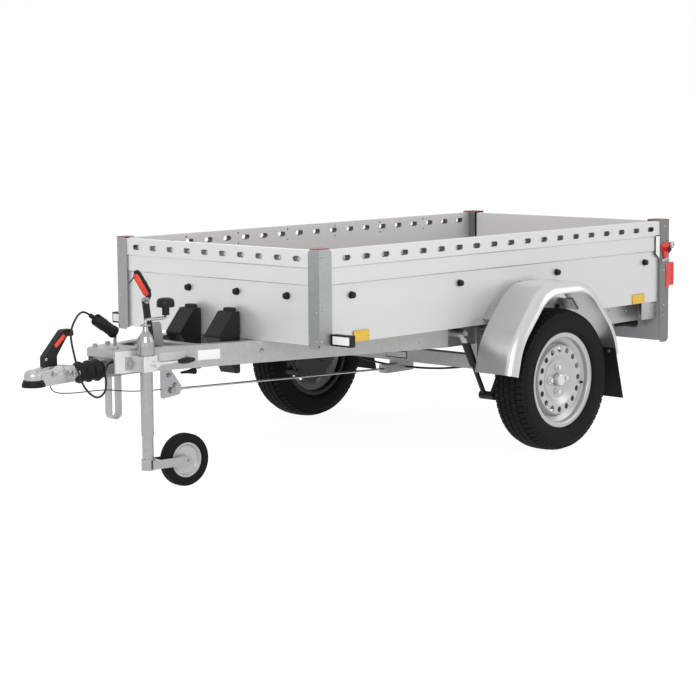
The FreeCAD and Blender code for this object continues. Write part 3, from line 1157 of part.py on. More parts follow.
# Tailgate between the rear posts, on two hinges below the floor
gate_board = prism("GateBoard", "XZ", board_outline("gate_x", "-1"), "-gate_half", "2 * gate_half",
                   chamber_outline("gate_x", "-1"))
lug_y = "(gate_half - lug_inset)"
lug_plate = prism("LugPlate", "XZ", [
    ("hinge_x - lug_half", "hinge_z - lug_end", "hinge_radius"),
    ("hinge_x + lug_half", "hinge_z - lug_end", "hinge_radius"),
    ("hinge_x + lug_half", "floor_low"), ("hinge_x - lug_half", "floor_low")], lug_y, "lug_thick")
lug = cut("Lug", lug_plate,
          rod("LugBore", "hinge_radius + turn_gap", "3 * lug_thick",
              ("hinge_x", lug_y + " - lug_thick", "hinge_z"), "Y"))
nodes["tailgate"] = fuse("Gate", gate_board, lug, across("LugTwin", lug))
inner_face = "half_width - rear_post_inside"
hinge = fuse("Hinge", box("HingePlate", ("post_side - 2 * post_wall", "hinge_thick", "2 * hinge_half"),
                          ("rear_x + post_wall", inner_face, "hinge_z - hinge_half")),
             rod("HingePin", "hinge_radius", inner_face + " - gate_half + hinge_length",
                 ("hinge_x", "gate_half - hinge_length", "hinge_z"), "Y"))
nodes["tailgate_hinges"] = pair("Hinges", hinge)
latch_back = "rear_x - latch_overhang"
latch_front = latch_back + " + latch_length"
latch_plate = prism("LatchPlate", "XZ", [
    (latch_front, "latch_top - latch_round", "latch_round"),
    (latch_front + " - latch_slant", "latch_top", "latch_round"), (latch_back, "latch_top", "latch_round"),
    (latch_back, "latch_top - latch_slant", "latch_round"),
    ("rear_x + latch_slant", "latch_top - latch_height", "latch_round"),
    (latch_front + " - latch_slant", "latch_top - latch_height", "latch_round")], "half_width", "latch_thick")
latch = fuse("Latch", latch_plate,
             rod("LatchKnob", "latch_knob", "latch_knob_length",
                 ("rear_x + latch_knob_x", "half_width + latch_thick", "latch_top - latch_knob_drop"), "Y"))
nodes["tailgate_latches"] = pair("Latches", latch)

for label, item in nodes.items():
    item.Label = label
doc.recompute()
faults = [item.Name for item in doc.Objects if {"Invalid", "Error"} & set(item.State)]
faults += [label for label, item in nodes.items() if item.Shape.isNull() or not item.Shape.isValid()]
if faults:
    raise RuntimeError("Failed: " + ", ".join(faults))
os.makedirs("parts", exist_ok=True)
for label, item in nodes.items():
    item.Shape.exportStep("parts/%s.step" % label)
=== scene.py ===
"""Looks of a utility trailer: finishes, tread, lamps, cords, small hardware, studio and camera.

Metres throughout. +X is forward to the coupling, +Y the trailer's left, +Z up, and the wheels stand on z = 0.
"""
import logging
import math
from collections.abc import Sequence
from dataclasses import dataclass
from enum import Enum

import bpy
from mathutils import Matrix, Vector


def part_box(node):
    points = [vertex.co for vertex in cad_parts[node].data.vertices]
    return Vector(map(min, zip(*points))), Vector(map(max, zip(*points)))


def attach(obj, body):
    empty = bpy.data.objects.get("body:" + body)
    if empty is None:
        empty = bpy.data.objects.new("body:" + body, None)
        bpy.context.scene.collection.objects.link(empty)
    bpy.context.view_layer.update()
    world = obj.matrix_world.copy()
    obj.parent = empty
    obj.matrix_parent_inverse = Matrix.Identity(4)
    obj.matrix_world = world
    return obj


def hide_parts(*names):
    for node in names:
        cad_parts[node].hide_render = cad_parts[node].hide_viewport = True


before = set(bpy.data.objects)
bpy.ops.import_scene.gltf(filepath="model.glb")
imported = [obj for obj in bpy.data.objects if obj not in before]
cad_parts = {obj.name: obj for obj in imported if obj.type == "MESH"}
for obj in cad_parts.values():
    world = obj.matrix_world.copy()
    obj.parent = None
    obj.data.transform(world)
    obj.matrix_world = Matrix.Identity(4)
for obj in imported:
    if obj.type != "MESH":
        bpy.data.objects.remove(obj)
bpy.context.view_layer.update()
LOG = logging.getLogger("trailer")

Piece = bpy.types.Object
Socket = bpy.types.NodeSocket
Sockets = bpy.types.bpy_prop_collection
Pattern = tuple[Socket, Socket]
Triple = tuple[float, float, float]
Place = Sequence[float]
Outline = Sequence[tuple[float, float]]
Box = tuple[Triple, Triple]

FULL_TURN = 2 * math.pi
QUARTER_TURN = math.pi / 2
FORWARDS, BACKWARDS, LEFTWARDS, UPWARDS = (1, 0, 0), (-1, 0, 0), (0, 1, 0), (0, 0, 1)
BUMP_STRENGTH = 0.6

# Faces of the load box, and the middle of the left wheel
FRONT_X = 0.676
REAR_X = -1.574
HALF_WIDTH = 0.5745
SKIN_X = 0.664
SKIN_Y = 0.5625
RAIL_Y = 0.490
STRAP_Y = 0.4942
GUSSET_Y = 0.5538
WHEEL_CENTRE = (-0.554, 0.705, 0.2925)


class Side(Enum):
    """Hand of the trailer, as the sign of Y."""

    LEFT = 1
    RIGHT = -1

    @property
    def word(self) -> str:
        """Lower-case word for names."""
        return self.name.lower()


class Grain(Enum):
    """How a surface is broken up."""

    BRUSHED = "brushed"
    SPANGLED = "spangled"
    CLOUDY = "cloudy"
    MOULDED = "moulded"
    PRISMS = "prisms"
    TIMBER = "timber"


class Head(Enum):
    """Kinds of fastener heads."""

    RIVET = "rivet"
    BOLT = "bolt"


class NodeSet:
    """Short hand for building one node tree.

    Args:
        tree: The node tree that gets the nodes.
    """

    def __init__(self, tree: bpy.types.NodeTree) -> None:
        self.tree = tree

    def feed(self, node: bpy.types.Node, inputs: dict[str | int, object]) -> None:
        """Gives a node its inputs.

        Args:
            node: The node.
            inputs: Socket names or numbers with a value, or with an output socket to link.
        """
        for name, given in inputs.items():
            if isinstance(given, Socket):
                self.tree.links.new(given, node.inputs[name])
            else:
                node.inputs[name].default_value = given

    def add(self, kind: str, inputs: dict[str | int, object] | None = None, **settings: object) -> bpy.types.Node:
        """Adds a node.

        Args:
            kind: Type name of the node.
            inputs: Its inputs, as feed takes them.
            settings: Properties of the node itself.

        Returns:
            The new node.
        """
        node = self.tree.nodes.new(kind)
        for name, setting in settings.items():
            setattr(node, name, setting)
        self.feed(node, inputs or {})
        return node

    def maths(self, operation: str, first: object, second: object) -> Socket:
        """Output of a Math node on two values or sockets."""
        return self.add("ShaderNodeMath", {0: first, 1: second}, operation=operation).outputs[0]

    def tinted(self, colour: Socket, tone: Socket) -> Socket:
        """Colour multiplied by a grey tone."""
        return self.add("ShaderNodeMix", {0: 1.0, 6: colour, 7: tone}, data_type="RGBA",
                        blend_type="MULTIPLY").outputs[2]

    def spread(self, value: Socket, amount: Socket) -> Socket:
        """Turns a 0 to 1 value into 1 plus or minus an amount."""
        centred = self.maths("SUBTRACT", value, 0.5)
        return self.maths("ADD", self.maths("MULTIPLY", centred, self.maths("MULTIPLY", amount, 2.0)), 1.0)


class GrainLibrary:
    """Shader groups, one for each grain, each built once and shared by all finishes."""

    SOCKETS = {"INPUT": (("Vector", "Vector"), ("Colour", "Color"), ("Roughness", "Float"), ("Frequency", "Float"),
                         ("Variation", "Float")),
               "OUTPUT": (("Colour", "Color"), ("Roughness", "Float"), ("Height", "Float"))}

    def group(self, grain: Grain) -> bpy.types.NodeTree:
        """Group of a grain, made at the first call.

        Args:
            grain: The grain wanted.

        Returns:
            The node group.
        """
        name = grain.value + "_grain"
        found = bpy.data.node_groups.get(name)
        if found:
            return found
        tree = bpy.data.node_groups.new(name, "ShaderNodeTree")
        for way, labels in self.SOCKETS.items():
            for label, kind in labels:
                tree.interface.new_socket(label, in_out=way, socket_type="NodeSocket" + kind)
        nodes = NodeSet(tree)
        given = nodes.add("NodeGroupInput").outputs
        value, height = getattr(self, "_" + grain.value)(nodes, given)
        tone = nodes.spread(value, given["Variation"])
        rough = nodes.maths("MULTIPLY", given["Roughness"], tone)
        nodes.add("NodeGroupOutput", {"Colour": nodes.tinted(given["Colour"], tone), "Roughness": rough,
                                      "Height": height})
        return tree

    @staticmethod
    def _noise(nodes: NodeSet, given: Sockets, ratio: float, detail: float) -> Socket:
        """Noise at a multiple of the group's frequency."""
        scale = nodes.maths("MULTIPLY", given["Frequency"], ratio)
        return nodes.add("ShaderNodeTexNoise", {"Vector": given["Vector"], "Scale": scale, "Detail": detail}).outputs[0]

    @staticmethod
    def _cells(nodes: NodeSet, given: Sockets, metric: str = "EUCLIDEAN", **inputs: float) -> Sockets:
        """Outputs of a cell pattern at the group's frequency."""
        inputs = {"Vector": given["Vector"], "Scale": given["Frequency"], **inputs}
        return nodes.add("ShaderNodeTexVoronoi", inputs, distance=metric).outputs

    def _brushed(self, nodes: NodeSet, given: Sockets) -> Pattern:
        """Drawn lines: the mapping outside stretches them along the metal."""
        fine, broad = self._noise(nodes, given, 1.0, 4.0), self._noise(nodes, given, 0.02, 2.0)
        return nodes.maths("MULTIPLY", nodes.maths("ADD", fine, broad), 0.5), fine

    def _spangled(self, nodes: NodeSet, given: Sockets) -> Pattern:
        """Zinc crystals, each with its own tone, under a faint cloud."""
        grey = nodes.add("ShaderNodeRGBToBW", {0: self._cells(nodes, given)["Color"]}).outputs[0]
        cloud = nodes.maths("MULTIPLY", self._noise(nodes, given, 0.15, 3.0), 0.55)
        return nodes.maths("ADD", nodes.maths("MULTIPLY", grey, 0.45), cloud), self._noise(nodes, given, 1.5, 3.0)

    def _cloudy(self, nodes: NodeSet, given: Sockets) -> Pattern:
        """Slow changes of tone with a fine skin."""
        return self._noise(nodes, given, 1.0, 5.0), self._noise(nodes, given, 9.0, 2.0)

    def _moulded(self, nodes: NodeSet, given: Sockets) -> Pattern:
        """Pebbled skin of moulded plastic or rubber."""
        return self._noise(nodes, given, 0.05, 3.0), self._cells(nodes, given)["Distance"]

    def _prisms(self, nodes: NodeSet, given: Sockets) -> Pattern:
        """Rows of small moulded prisms inside a lens."""
        return (self._cells(nodes, given, "CHEBYCHEV", Randomness=0.0)["Distance"],) * 2

    def _timber(self, nodes: NodeSet, given: Sockets) -> Pattern:
        """Coated plywood: long grain under a fine anti-slip mesh."""
        mesh = self._cells(nodes, given, Scale=220.0, Randomness=0.0)
        return self._noise(nodes, given, 1.0, 6.0), mesh["Distance"]


GRAINS = GrainLibrary()


class Surface:
    """What a piece can be dressed with: one material, made once."""

    name: str

    def shade(self, nodes: NodeSet, shader: bpy.types.Node, place: Socket) -> None:
        """Feeds the shader from the place on the piece."""
        raise NotImplementedError

    def material(self) -> bpy.types.Material:
        """Material of this surface, made at the first call."""
        found = bpy.data.materials.get(self.name)
        if found:
            return found
        material = bpy.data.materials.new(self.name)
        material.use_nodes = True
        nodes = NodeSet(material.node_tree)
        place = nodes.add("ShaderNodeTexCoord").outputs["Object"]
        self.shade(nodes, material.node_tree.nodes["Principled BSDF"], place)
        return material

    def dress(self, piece: Piece) -> None:
        """Gives a piece this surface all over."""
        piece.data.materials.clear()
        piece.data.materials.append(self.material())


@dataclass(frozen=True)
class Finish(Surface):
    """One surface finish.

    Attributes:
        name: Name of the material.
        slot: The record's material slot for new pieces.
        colour: Linear base colour.
        metallic: 0 for plastic and rubber, towards 1 for bare metal.
        roughness: Middle roughness.
        grain: How the surface is broken up.
        size: Size of one feature of the grain.
        variation: Share by which tone and roughness vary.
        relief: Depth of the grain's bump.
        stretch: Scale of the pattern along X, Y and Z.
        coat: Weight of a clear layer on top.
        specular: Strength of the mirror part of a surface that isn't metal.
    """

    name: str
    slot: str
    colour: Triple
    metallic: float
    roughness: float
    grain: Grain
    size: float
    variation: float
    relief: float
    stretch: Triple = (1.0, 1.0, 1.0)
    coat: float = 0.0
    specular: float = 0.5

    def pattern(self, nodes: NodeSet, place: Socket) -> Sockets:
        """Outputs of this finish's grain, set to its values.

        Args:
            nodes: The node tree that gets the grain.
            place: Socket with the place on the piece.

        Returns:
            The sockets Colour, Roughness and Height.
        """
        mapped = nodes.add("ShaderNodeMapping", {"Vector": place, "Scale": self.stretch}).outputs[0]
        group = nodes.add("ShaderNodeGroup", node_tree=GRAINS.group(self.grain))
        nodes.feed(group, {"Vector": mapped, "Colour": (*self.colour, 1.0), "Roughness": self.roughness,
                           "Frequency": 1 / self.size, "Variation": self.variation})
        return group.outputs

    def bump(self, nodes: NodeSet, height: Socket) -> Socket:
        """Normal of the grain's relief."""
        return nodes.add("ShaderNodeBump", {"Height": height, "Distance": self.relief,
                                            "Strength": BUMP_STRENGTH}).outputs[0]

    def shade(self, nodes: NodeSet, shader: bpy.types.Node, place: Socket) -> None:
        """Feeds the shader from the grain."""
        made = self.pattern(nodes, place)
        nodes.feed(shader, {"Base Color": made["Colour"], "Roughness": made["Roughness"], "Metallic": self.metallic,
                            "Normal": self.bump(nodes, made["Height"]), "Coat Weight": self.coat,
                            "Specular IOR Level": self.specular})


@dataclass(frozen=True)
class SplitFinish(Surface):
    """Two finishes on one piece, parted at a distance from the origin along an axis.

    Attributes:
        name: Name of the material.
        below: Finish nearer than the distance.
        above: Finish further out.
        axis: Direction along which the distance counts.
        level: The distance.
    """

    name: str
    below: Finish
    above: Finish
    axis: Triple
    level: float

    def shade(self, nodes: NodeSet, shader: bpy.types.Node, place: Socket) -> None:
        """Feeds the shader from both finishes."""
        along = nodes.add("ShaderNodeVectorMath", {0: place, 1: self.axis}, operation="DOT_PRODUCT")
        distance = nodes.maths("ABSOLUTE", along.outputs["Value"], 0.0)
        side = nodes.maths("GREATER_THAN", distance, self.level)
        below, above = self.below, self.above
        low, high = below.pattern(nodes, place), above.pattern(nodes, place)
        colour = nodes.add("ShaderNodeMix", {0: side, 6: low["Colour"], 7: high["Colour"]}, data_type="RGBA")
        nodes.feed(shader, {"Base Color": colour.outputs[2], "Normal": below.bump(nodes, low["Height"])})
        for socket, first, second in (("Roughness", low["Roughness"], high["Roughness"]),
                                      ("Metallic", below.metallic, above.metallic),
                                      ("Specular IOR Level", below.specular, above.specular)):
            nodes.feed(shader, {socket: nodes.add("ShaderNodeMix", {0: side, 2: first, 3: second}).outputs[0]})


BOARD_ALONG = Finish("board_drawn_lengthwise", "board_aluminium", (0.57, 0.572, 0.565), 0.5, 0.40, Grain.BRUSHED,
                     0.0015, 0.05, 0.00002, stretch=(0.012, 1.0, 1.0))
# Same aluminium as the side boards, drawn crosswise; its lighter tone is painted light on the front board and the
# tailgate.
BOARD_ACROSS_LIT = Finish("board_drawn_crosswise_painted_light", "board_aluminium", (0.70, 0.70, 0.695), 0.5, 0.40, Grain.BRUSHED,
                      0.0015, 0.05, 0.00002, stretch=(1.0, 0.012, 1.0))
POST_ZINC = Finish("post_zinc", "galvanised_steel", (0.32, 0.335, 0.345), 0.65, 0.42, Grain.SPANGLED,
                   0.012, 0.10, 0.00004)
# Painted shade: a darker copy of the post zinc, for the rear corner posts that stand in shade.
SHADED_REAR_ZINC = Finish("rear_zinc_painted_shade", "galvanised_steel", (0.17, 0.18, 0.17), 0.6, 0.44, Grain.SPANGLED,
                   0.012, 0.10, 0.00004)
BEAM_ZINC = Finish("beam_zinc", "galvanised_steel", (0.41, 0.415, 0.40), 0.7, 0.34, Grain.SPANGLED,
                   0.014, 0.12, 0.00004)
DULL_ZINC = Finish("dull_zinc", "galvanised_steel", (0.36, 0.37, 0.37), 0.7, 0.46, Grain.SPANGLED,
                   0.010, 0.16, 0.00008)
GUARD_ZINC = Finish("guard_zinc", "galvanised_steel", (0.53, 0.54, 0.53), 0.8, 0.31, Grain.SPANGLED,
                    0.016, 0.05, 0.00002)
BRIGHT_ZINC = Finish("bright_zinc", "zinc_plate", (0.36, 0.37, 0.375), 0.9, 0.24, Grain.CLOUDY, 0.02, 0.10, 0.00002)
CLAMP_ZINC = Finish("clamp_zinc", "zinc_plate", (0.62, 0.63, 0.62), 0.6, 0.32, Grain.CLOUDY, 0.01, 0.08, 0.00003)
WHEEL_SILVER = Finish("wheel_silver", "silver_paint", (0.44, 0.45, 0.44), 0.45, 0.36, Grain.CLOUDY,
                      0.004, 0.05, 0.00001, coat=0.3)
BLACK_PAINT = Finish("black_paint", "black_steel", (0.009, 0.009, 0.010), 0.0, 0.38, Grain.CLOUDY,
                     0.006, 0.15, 0.00004, coat=0.1, specular=0.25)
CAST_GREY = Finish("cast_grey", "cast_steel", (0.42, 0.43, 0.42), 0.65, 0.36, Grain.CLOUDY, 0.005, 0.22, 0.0002)
FLOOR_PLY = Finish("coated_ply", "floor_ply", (0.11, 0.065, 0.04), 0.0, 0.45, Grain.TIMBER, 0.012, 0.25, 0.0001,
                   stretch=(0.08, 1.0, 1.0))
TYRE_RUBBER = Finish("ribbed_rubber", "tyre_rubber", (0.0075, 0.0075, 0.008), 0.0, 0.74, Grain.CLOUDY,
                     0.01, 0.2, 0.0001, specular=0.12)
SOFT_RUBBER = Finish("soft_rubber", "black_rubber", (0.008, 0.008, 0.008), 0.0, 0.55, Grain.MOULDED,
                     0.002, 0.15, 0.00005, specular=0.15)
BLACK_PLASTIC = Finish("moulded_black", "black_plastic", (0.008, 0.008, 0.0085), 0.0, 0.44, Grain.MOULDED,
                       0.0012, 0.12, 0.00005, specular=0.22)
CAP_BROWN = Finish("cap_brown", "cap_plastic", (0.18, 0.055, 0.035), 0.0, 0.5, Grain.MOULDED, 0.0015, 0.12, 0.00004)
SIGNAL_RED = Finish("signal_red", "red_plastic", (0.62, 0.018, 0.012), 0.0, 0.34, Grain.MOULDED,
                    0.002, 0.06, 0.00002, coat=0.3)
LEVER_RED = Finish("lever_red", "red_plastic", (0.70, 0.045, 0.018), 0.0, 0.36, Grain.MOULDED,
                   0.0015, 0.06, 0.00003, coat=0.2)
LENS_RED = Finish("lens_red", "red_plastic", (0.66, 0.008, 0.006), 0.0, 0.16, Grain.PRISMS,
                  0.005, 0.16, 0.0004, coat=0.25)
LENS_AMBER = Finish("lens_amber", "amber_plastic", (0.68, 0.42, 0.015), 0.0, 0.20, Grain.PRISMS,
                    0.004, 0.16, 0.0003, coat=0.2)
LENS_CLEAR = Finish("lens_clear", "clear_plastic", (0.74, 0.76, 0.75), 0.0, 0.14, Grain.PRISMS,
                    0.004, 0.08, 0.0003, coat=0.8)
SHEATH = Finish("cord_sheath", "cable_sheath", (0.009, 0.009, 0.009), 0.0, 0.42, Grain.CLOUDY,
                0.01, 0.15, 0.00003, specular=0.25)
LABEL_WHITE = Finish("label_white", "clear_plastic", (0.76, 0.76, 0.75), 0.0, 0.5, Grain.CLOUDY, 0.01, 0.04, 0.00001)
LABEL_GREY = Finish("label_grey", "board_aluminium", (0.50, 0.50, 0.49), 0.1, 0.5, Grain.CLOUDY,
                    0.006, 0.12, 0.00001)

NODE_FINISHES: dict[Surface, str] = {
    BOARD_ALONG: "side_panel_left side_panel_right",
    # Front board and tailgate: crosswise grain, with painted light in their lighter tone.
    BOARD_ACROSS_LIT: "front_panel tailgate",
    POST_ZINC: "corner_posts_front rear_skirt fender_brackets",
    # The rear corner posts get the zinc with painted shade.
    SHADED_REAR_ZINC: "corner_posts_rear",
    BEAM_ZINC: "drawbar_left drawbar_right side_rails cross_members drawbar_plate rest_hoop",
    DULL_ZINC: "axle_beam overrun_housing brake_equaliser tailgate_hinges handbrake_bracket chock_holders",
    GUARD_ZINC: "fender_left fender_right",
    BRIGHT_ZINC: "jockey_tube jockey_leg jockey_fork brake_rod brake_linkage",
    WHEEL_SILVER: "jockey_rim hub_left hub_right",
    BLACK_PAINT: "swing_arm_left swing_arm_right handbrake_lever",
    CAST_GREY: "coupling_head",
    FLOOR_PLY: "floor_panel",
    TYRE_RUBBER: "tyre_left tyre_right jockey_tyre",
    SOFT_RUBBER: "mudflaps drawbar_bellows coupling_cap",
    CAP_BROWN: "post_caps",
    SIGNAL_RED: "tailgate_latches",
    LENS_RED: "rear_lamps",
    LENS_AMBER: "side_reflectors",
    BLACK_PLASTIC: "wheel_chocks tarp_knobs light_plug coupling_lever marker_lamps",
    SHEATH: "light_cable breakaway_cable brake_cables",
    # Painted shade: the rims' inner barrel, nearer the middle than y 0.668, is painted black for the shade inside the
    # wheels; the silver further out is the rims' own paint.
    SplitFinish("rim_and_painted_shade_inside", BLACK_PAINT, WHEEL_SILVER, LEFTWARDS, 0.668): "rim_left rim_right",
    SplitFinish("crank_and_knob", BRIGHT_ZINC, BLACK_PLASTIC, UPWARDS, 0.651): "jockey_crank",
    SplitFinish("clamp_and_grip", BLACK_PLASTIC, CLAMP_ZINC, FORWARDS, 1.0225): "jockey_clamp",
    SplitFinish("damper_and_joint", BLACK_PAINT, BRIGHT_ZINC, UPWARDS, 0.462):
        "shock_absorber_left shock_absorber_right",
    SplitFinish("stem_and_cup", DULL_ZINC, BLACK_PLASTIC, UPWARDS, 0.562): "plug_holder",
}


# Modelling moves. Each leaves a piece at the origin, with its place in its mesh.

def pick(*pieces: Piece) -> None:
    """Selects nothing but these pieces, and makes the last one active."""
    bpy.ops.object.select_all(action="DESELECT")
    for piece in pieces:
        piece.select_set(True)
        bpy.context.view_layer.objects.active = piece


def settle(piece: Piece) -> Piece:
    """Moves a piece's place, turn and size into its mesh."""
    pick(piece)
    bpy.ops.object.transform_apply(location=True, rotation=True, scale=True)
    return piece


def modify(piece: Piece, kind: str, **settings: object) -> Piece:
    """Adds a modifier to a piece and applies it.

    Args:
        piece: The piece to shape.
        kind: Type name of the modifier.
        settings: Properties of the modifier.

    Returns:
        The same piece.
    """
    pick(piece)
    modifier = piece.modifiers.new(kind.lower(), kind)
    for name, setting in settings.items():
        setattr(modifier, name, setting)
    bpy.ops.object.modifier_apply(modifier=modifier.name)
    return piece


def smoothed(piece: Piece, degrees: float = 35) -> Piece:
    """Shades a piece smooth up to an angle."""
    pick(piece)
    bpy.ops.object.shade_smooth_by_angle(angle=math.radians(degrees))
    return piece


def rounded(piece: Piece, width: float, segments: int = 2) -> Piece:
    """Rounds a piece's edges and shades it smooth.

    Args:
        piece: The piece to round.
        width: Width of the rounding, or 0 for a piece that stays sharp.
        segments: Facets across the rounding.

    Returns:
        The same piece.
    """
    if not width:
        return piece
    return smoothed(modify(piece, "BEVEL", width=width, segments=segments, limit_method="ANGLE",
                           angle_limit=math.radians(28)))


def block(low: Place, high: Place, bevel: float = 0.0, segments: int = 2) -> Piece:
    """Box between two corners.

    Args:
        low: Lowest corner.
        high: Highest corner.
        bevel: Width of the rounding on its edges.
        segments: Facets across the rounding.

    Returns:
        The box.
    """
    pick()
    low, high = Vector(low), Vector(high)
    bpy.ops.mesh.primitive_cube_add(size=1, location=(low + high) / 2, scale=high - low)
    return rounded(settle(bpy.context.object), bevel, segments)


def rod(radius: float, start: Place, end: Place, bevel: float = 0.0, sides: int = 32) -> Piece:
    """Round or many-sided bar between two points.

    Args:
        radius: Radius over the corners.
        start: Centre of one end.
        end: Centre of the other end.
        bevel: Width of the rounding at the ends.
        sides: Number of flat sides.

    Returns:
        The bar.
    """
    pick()
    start, end = Vector(start), Vector(end)
    turn = (end - start).to_track_quat("Z", "Y").to_euler()
    bpy.ops.mesh.primitive_cylinder_add(vertices=sides, radius=radius, depth=(end - start).length,
                                        location=(start + end) / 2, rotation=turn)
    return smoothed(rounded(settle(bpy.context.object), bevel))


def path(corners: Sequence[Place]) -> Piece:
    """Line of edges through corners, left in edit mode with all of it selected.

    Args:
        corners: Places of the corners.

    Returns:
        The piece in edit mode.
    """
    pick()
    bpy.ops.mesh.primitive_plane_add(size=1)
    bpy.ops.object.mode_set(mode="EDIT")
    bpy.ops.mesh.select_all(action="SELECT")
    bpy.ops.mesh.merge(type="CENTER")
    bpy.ops.transform.translate(value=corners[0])
    for last, corner in zip(corners, corners[1:]):
        bpy.ops.mesh.extrude_region_move(TRANSFORM_OT_translate={"value": Vector(corner) - Vector(last)})
    bpy.ops.mesh.select_all(action="SELECT")
    return bpy.context.object


def turned(profile: Outline, start: Place, axis: Place, steps: int = 48) -> Piece:
    """Spins an outline about an axis.

    Args:
        profile: Pairs of radius and distance along the axis.
        start: Place of distance 0 on the axis.
        axis: Direction of the axis.
        steps: Number of steps in the full turn.

    Returns:
        The turned piece.
    """
    piece = path([(radius, 0, along) for radius, along in profile])
    bpy.ops.mesh.spin(steps=steps, angle=FULL_TURN, center=(0, 0, 0), axis=UPWARDS)
    bpy.ops.mesh.select_all(action="SELECT")
    bpy.ops.mesh.remove_doubles(threshold=0.00001)
    bpy.ops.mesh.normals_make_consistent(inside=False)
    bpy.ops.object.mode_set(mode="OBJECT")
    turn = Vector(axis).to_track_quat("Z", "Y").to_matrix().to_4x4()
    piece.data.transform(Matrix.Translation(Vector(start)) @ turn)
    return smoothed(settle(piece))


def plate(corners: Outline, thickness: float, bevel: float = 0.0) -> Piece:
    """Flat piece cut to an outline, standing on z = 0 and facing +Z.

    Args:
        corners: Outline in the XY plane.
        thickness: Height of the piece.
        bevel: Width of the rounding on its edges.

    Returns:
        The plate.
    """
    piece = path([(x, y, 0) for x, y in corners])
    bpy.ops.mesh.edge_face_add()
    bpy.ops.mesh.extrude_region_move(TRANSFORM_OT_translate={"value": (0, 0, thickness)})
    bpy.ops.mesh.select_all(action="SELECT")
    bpy.ops.mesh.normals_make_consistent(inside=False)
    bpy.ops.object.mode_set(mode="OBJECT")
    return rounded(settle(piece), bevel)


def upright(place: Place, facing: Place) -> Matrix:
    """Move that takes a piece from z = 0 to a face.

    Args:
        place: Where the piece's origin goes.
        facing: Where its +Z then looks, other than straight up or down.

    Returns:
        The move, with the piece's +Y as far upwards as it can point.
    """
    outwards = Vector(facing).normalized()
    across = Vector(UPWARDS).cross(outwards).normalized()
    turn = Matrix((across, outwards.cross(across), outwards)).transposed().to_4x4()
    return Matrix.Translation(Vector(place)) @ turn


def stand(piece: Piece, place: Place, facing: Place) -> Piece:
    """Moves a piece made on z = 0 to a face."""
    piece.data.transform(upright(place, facing))
    return piece


def side_plate(corners: Outline, start: float, thickness: float, bevel: float = 0.0) -> Piece:
    """Flat piece with an outline in X and Z, from y = start towards the trailer's left."""
    return stand(plate([(-x, z) for x, z in corners], thickness, bevel), (0, start, 0), LEFTWARDS)


def copied(piece: Piece, move: Matrix) -> Piece:
    """Copy of a piece with its own mesh.

    Args:
        piece: The piece to copy.
        move: Where the copy goes.

    Returns:
        The copy.
    """
    mesh = piece.data.copy()
    mesh.transform(move)
    if move.determinant() < 0:
        mesh.flip_normals()
    twin = bpy.data.objects.new(piece.name, mesh)
    bpy.context.scene.collection.objects.link(twin)
    return twin


def mirrored(piece: Piece) -> Piece:
    """Twin of a piece on the trailer's other side."""
    return copied(piece, Matrix.Scale(-1, 4, Vector(LEFTWARDS)))


def repeated(first: Piece, moves: Sequence[Matrix]) -> list[Piece]:
    """Puts a copy of a piece at each move, and removes the piece."""
    copies = [copied(first, move) for move in moves]
    bpy.data.objects.remove(first)
    return copies


def joined(*pieces: Piece) -> Piece:
    """Joins pieces into the last one."""
    pick(*pieces)
    bpy.ops.object.join()
    return settle(bpy.context.object)


def fastener(kind: Head, radius: float) -> Piece:
    """One head that stands on z = 0.

    Args:
        kind: Rivet or hexagon bolt.
        radius: Radius of the rivet, or of the hexagon over its corners.

    Returns:
        The head.
    """
    if kind is Head.RIVET:
        dome = ((0.0, 0.0), (1.0, 0.0), (1.0, 0.08), (0.86, 0.30), (0.5, 0.50), (0.0, 0.56))
        return turned([(radius * reach, radius * height) for reach, height in dome], (0, 0, 0), UPWARDS, steps=14)
    return joined(*(rod(reach * radius, (0, 0, low * radius), (0, 0, high * radius), edge * radius, sides)
                    for reach, low, high, edge, sides in ((1.25, 0, 0.2, 0.06, 20), (1, 0.2, 0.85, 0.09, 6),
                                                          (0.55, 0.85, 1.05, 0.06, 14))))


def mount(name: str, finish: Finish, *pieces: Piece, body: str = "chassis", both: bool = False,
          stands_for: str = "") -> Piece:
    """Joins pieces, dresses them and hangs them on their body.

    Args:
        name: Name of the joined piece.
        finish: Its surface.
        pieces: What it is made of.
        body: CAD body that carries it.
        both: Whether the trailer's other side has the same.
        stands_for: CAD node that it replaces, if any.

    Returns:
        The joined piece.
    """
    if both:
        pieces += tuple(mirrored(piece) for piece in pieces)
    whole = joined(*pieces) if len(pieces) > 1 else pieces[0]
    whole.name = whole.data.name = name
    finish.dress(whole)
    if stands_for:
        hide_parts(stands_for)
    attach(whole, body)
    LOG.info("%s on %s", name, body)
    return whole


def mount_on_wheels(names: tuple[str, str], finish: Finish, piece: Piece, stands_for: str = "") -> None:
    """Puts a piece on the left wheel and its twin on the right wheel.

    Args:
        names: Name of the left wheel's piece and of the right wheel's.
        finish: Their surface.
        piece: The left wheel's piece.
        stands_for: CAD nodes that they replace, before their side.
    """
    for side, name, made in zip(Side, names, (piece, mirrored(piece))):
        mount(name, finish, made, body=f"wheel_{side.word}",
              stands_for=stands_for and f"{stands_for}_{side.word}")


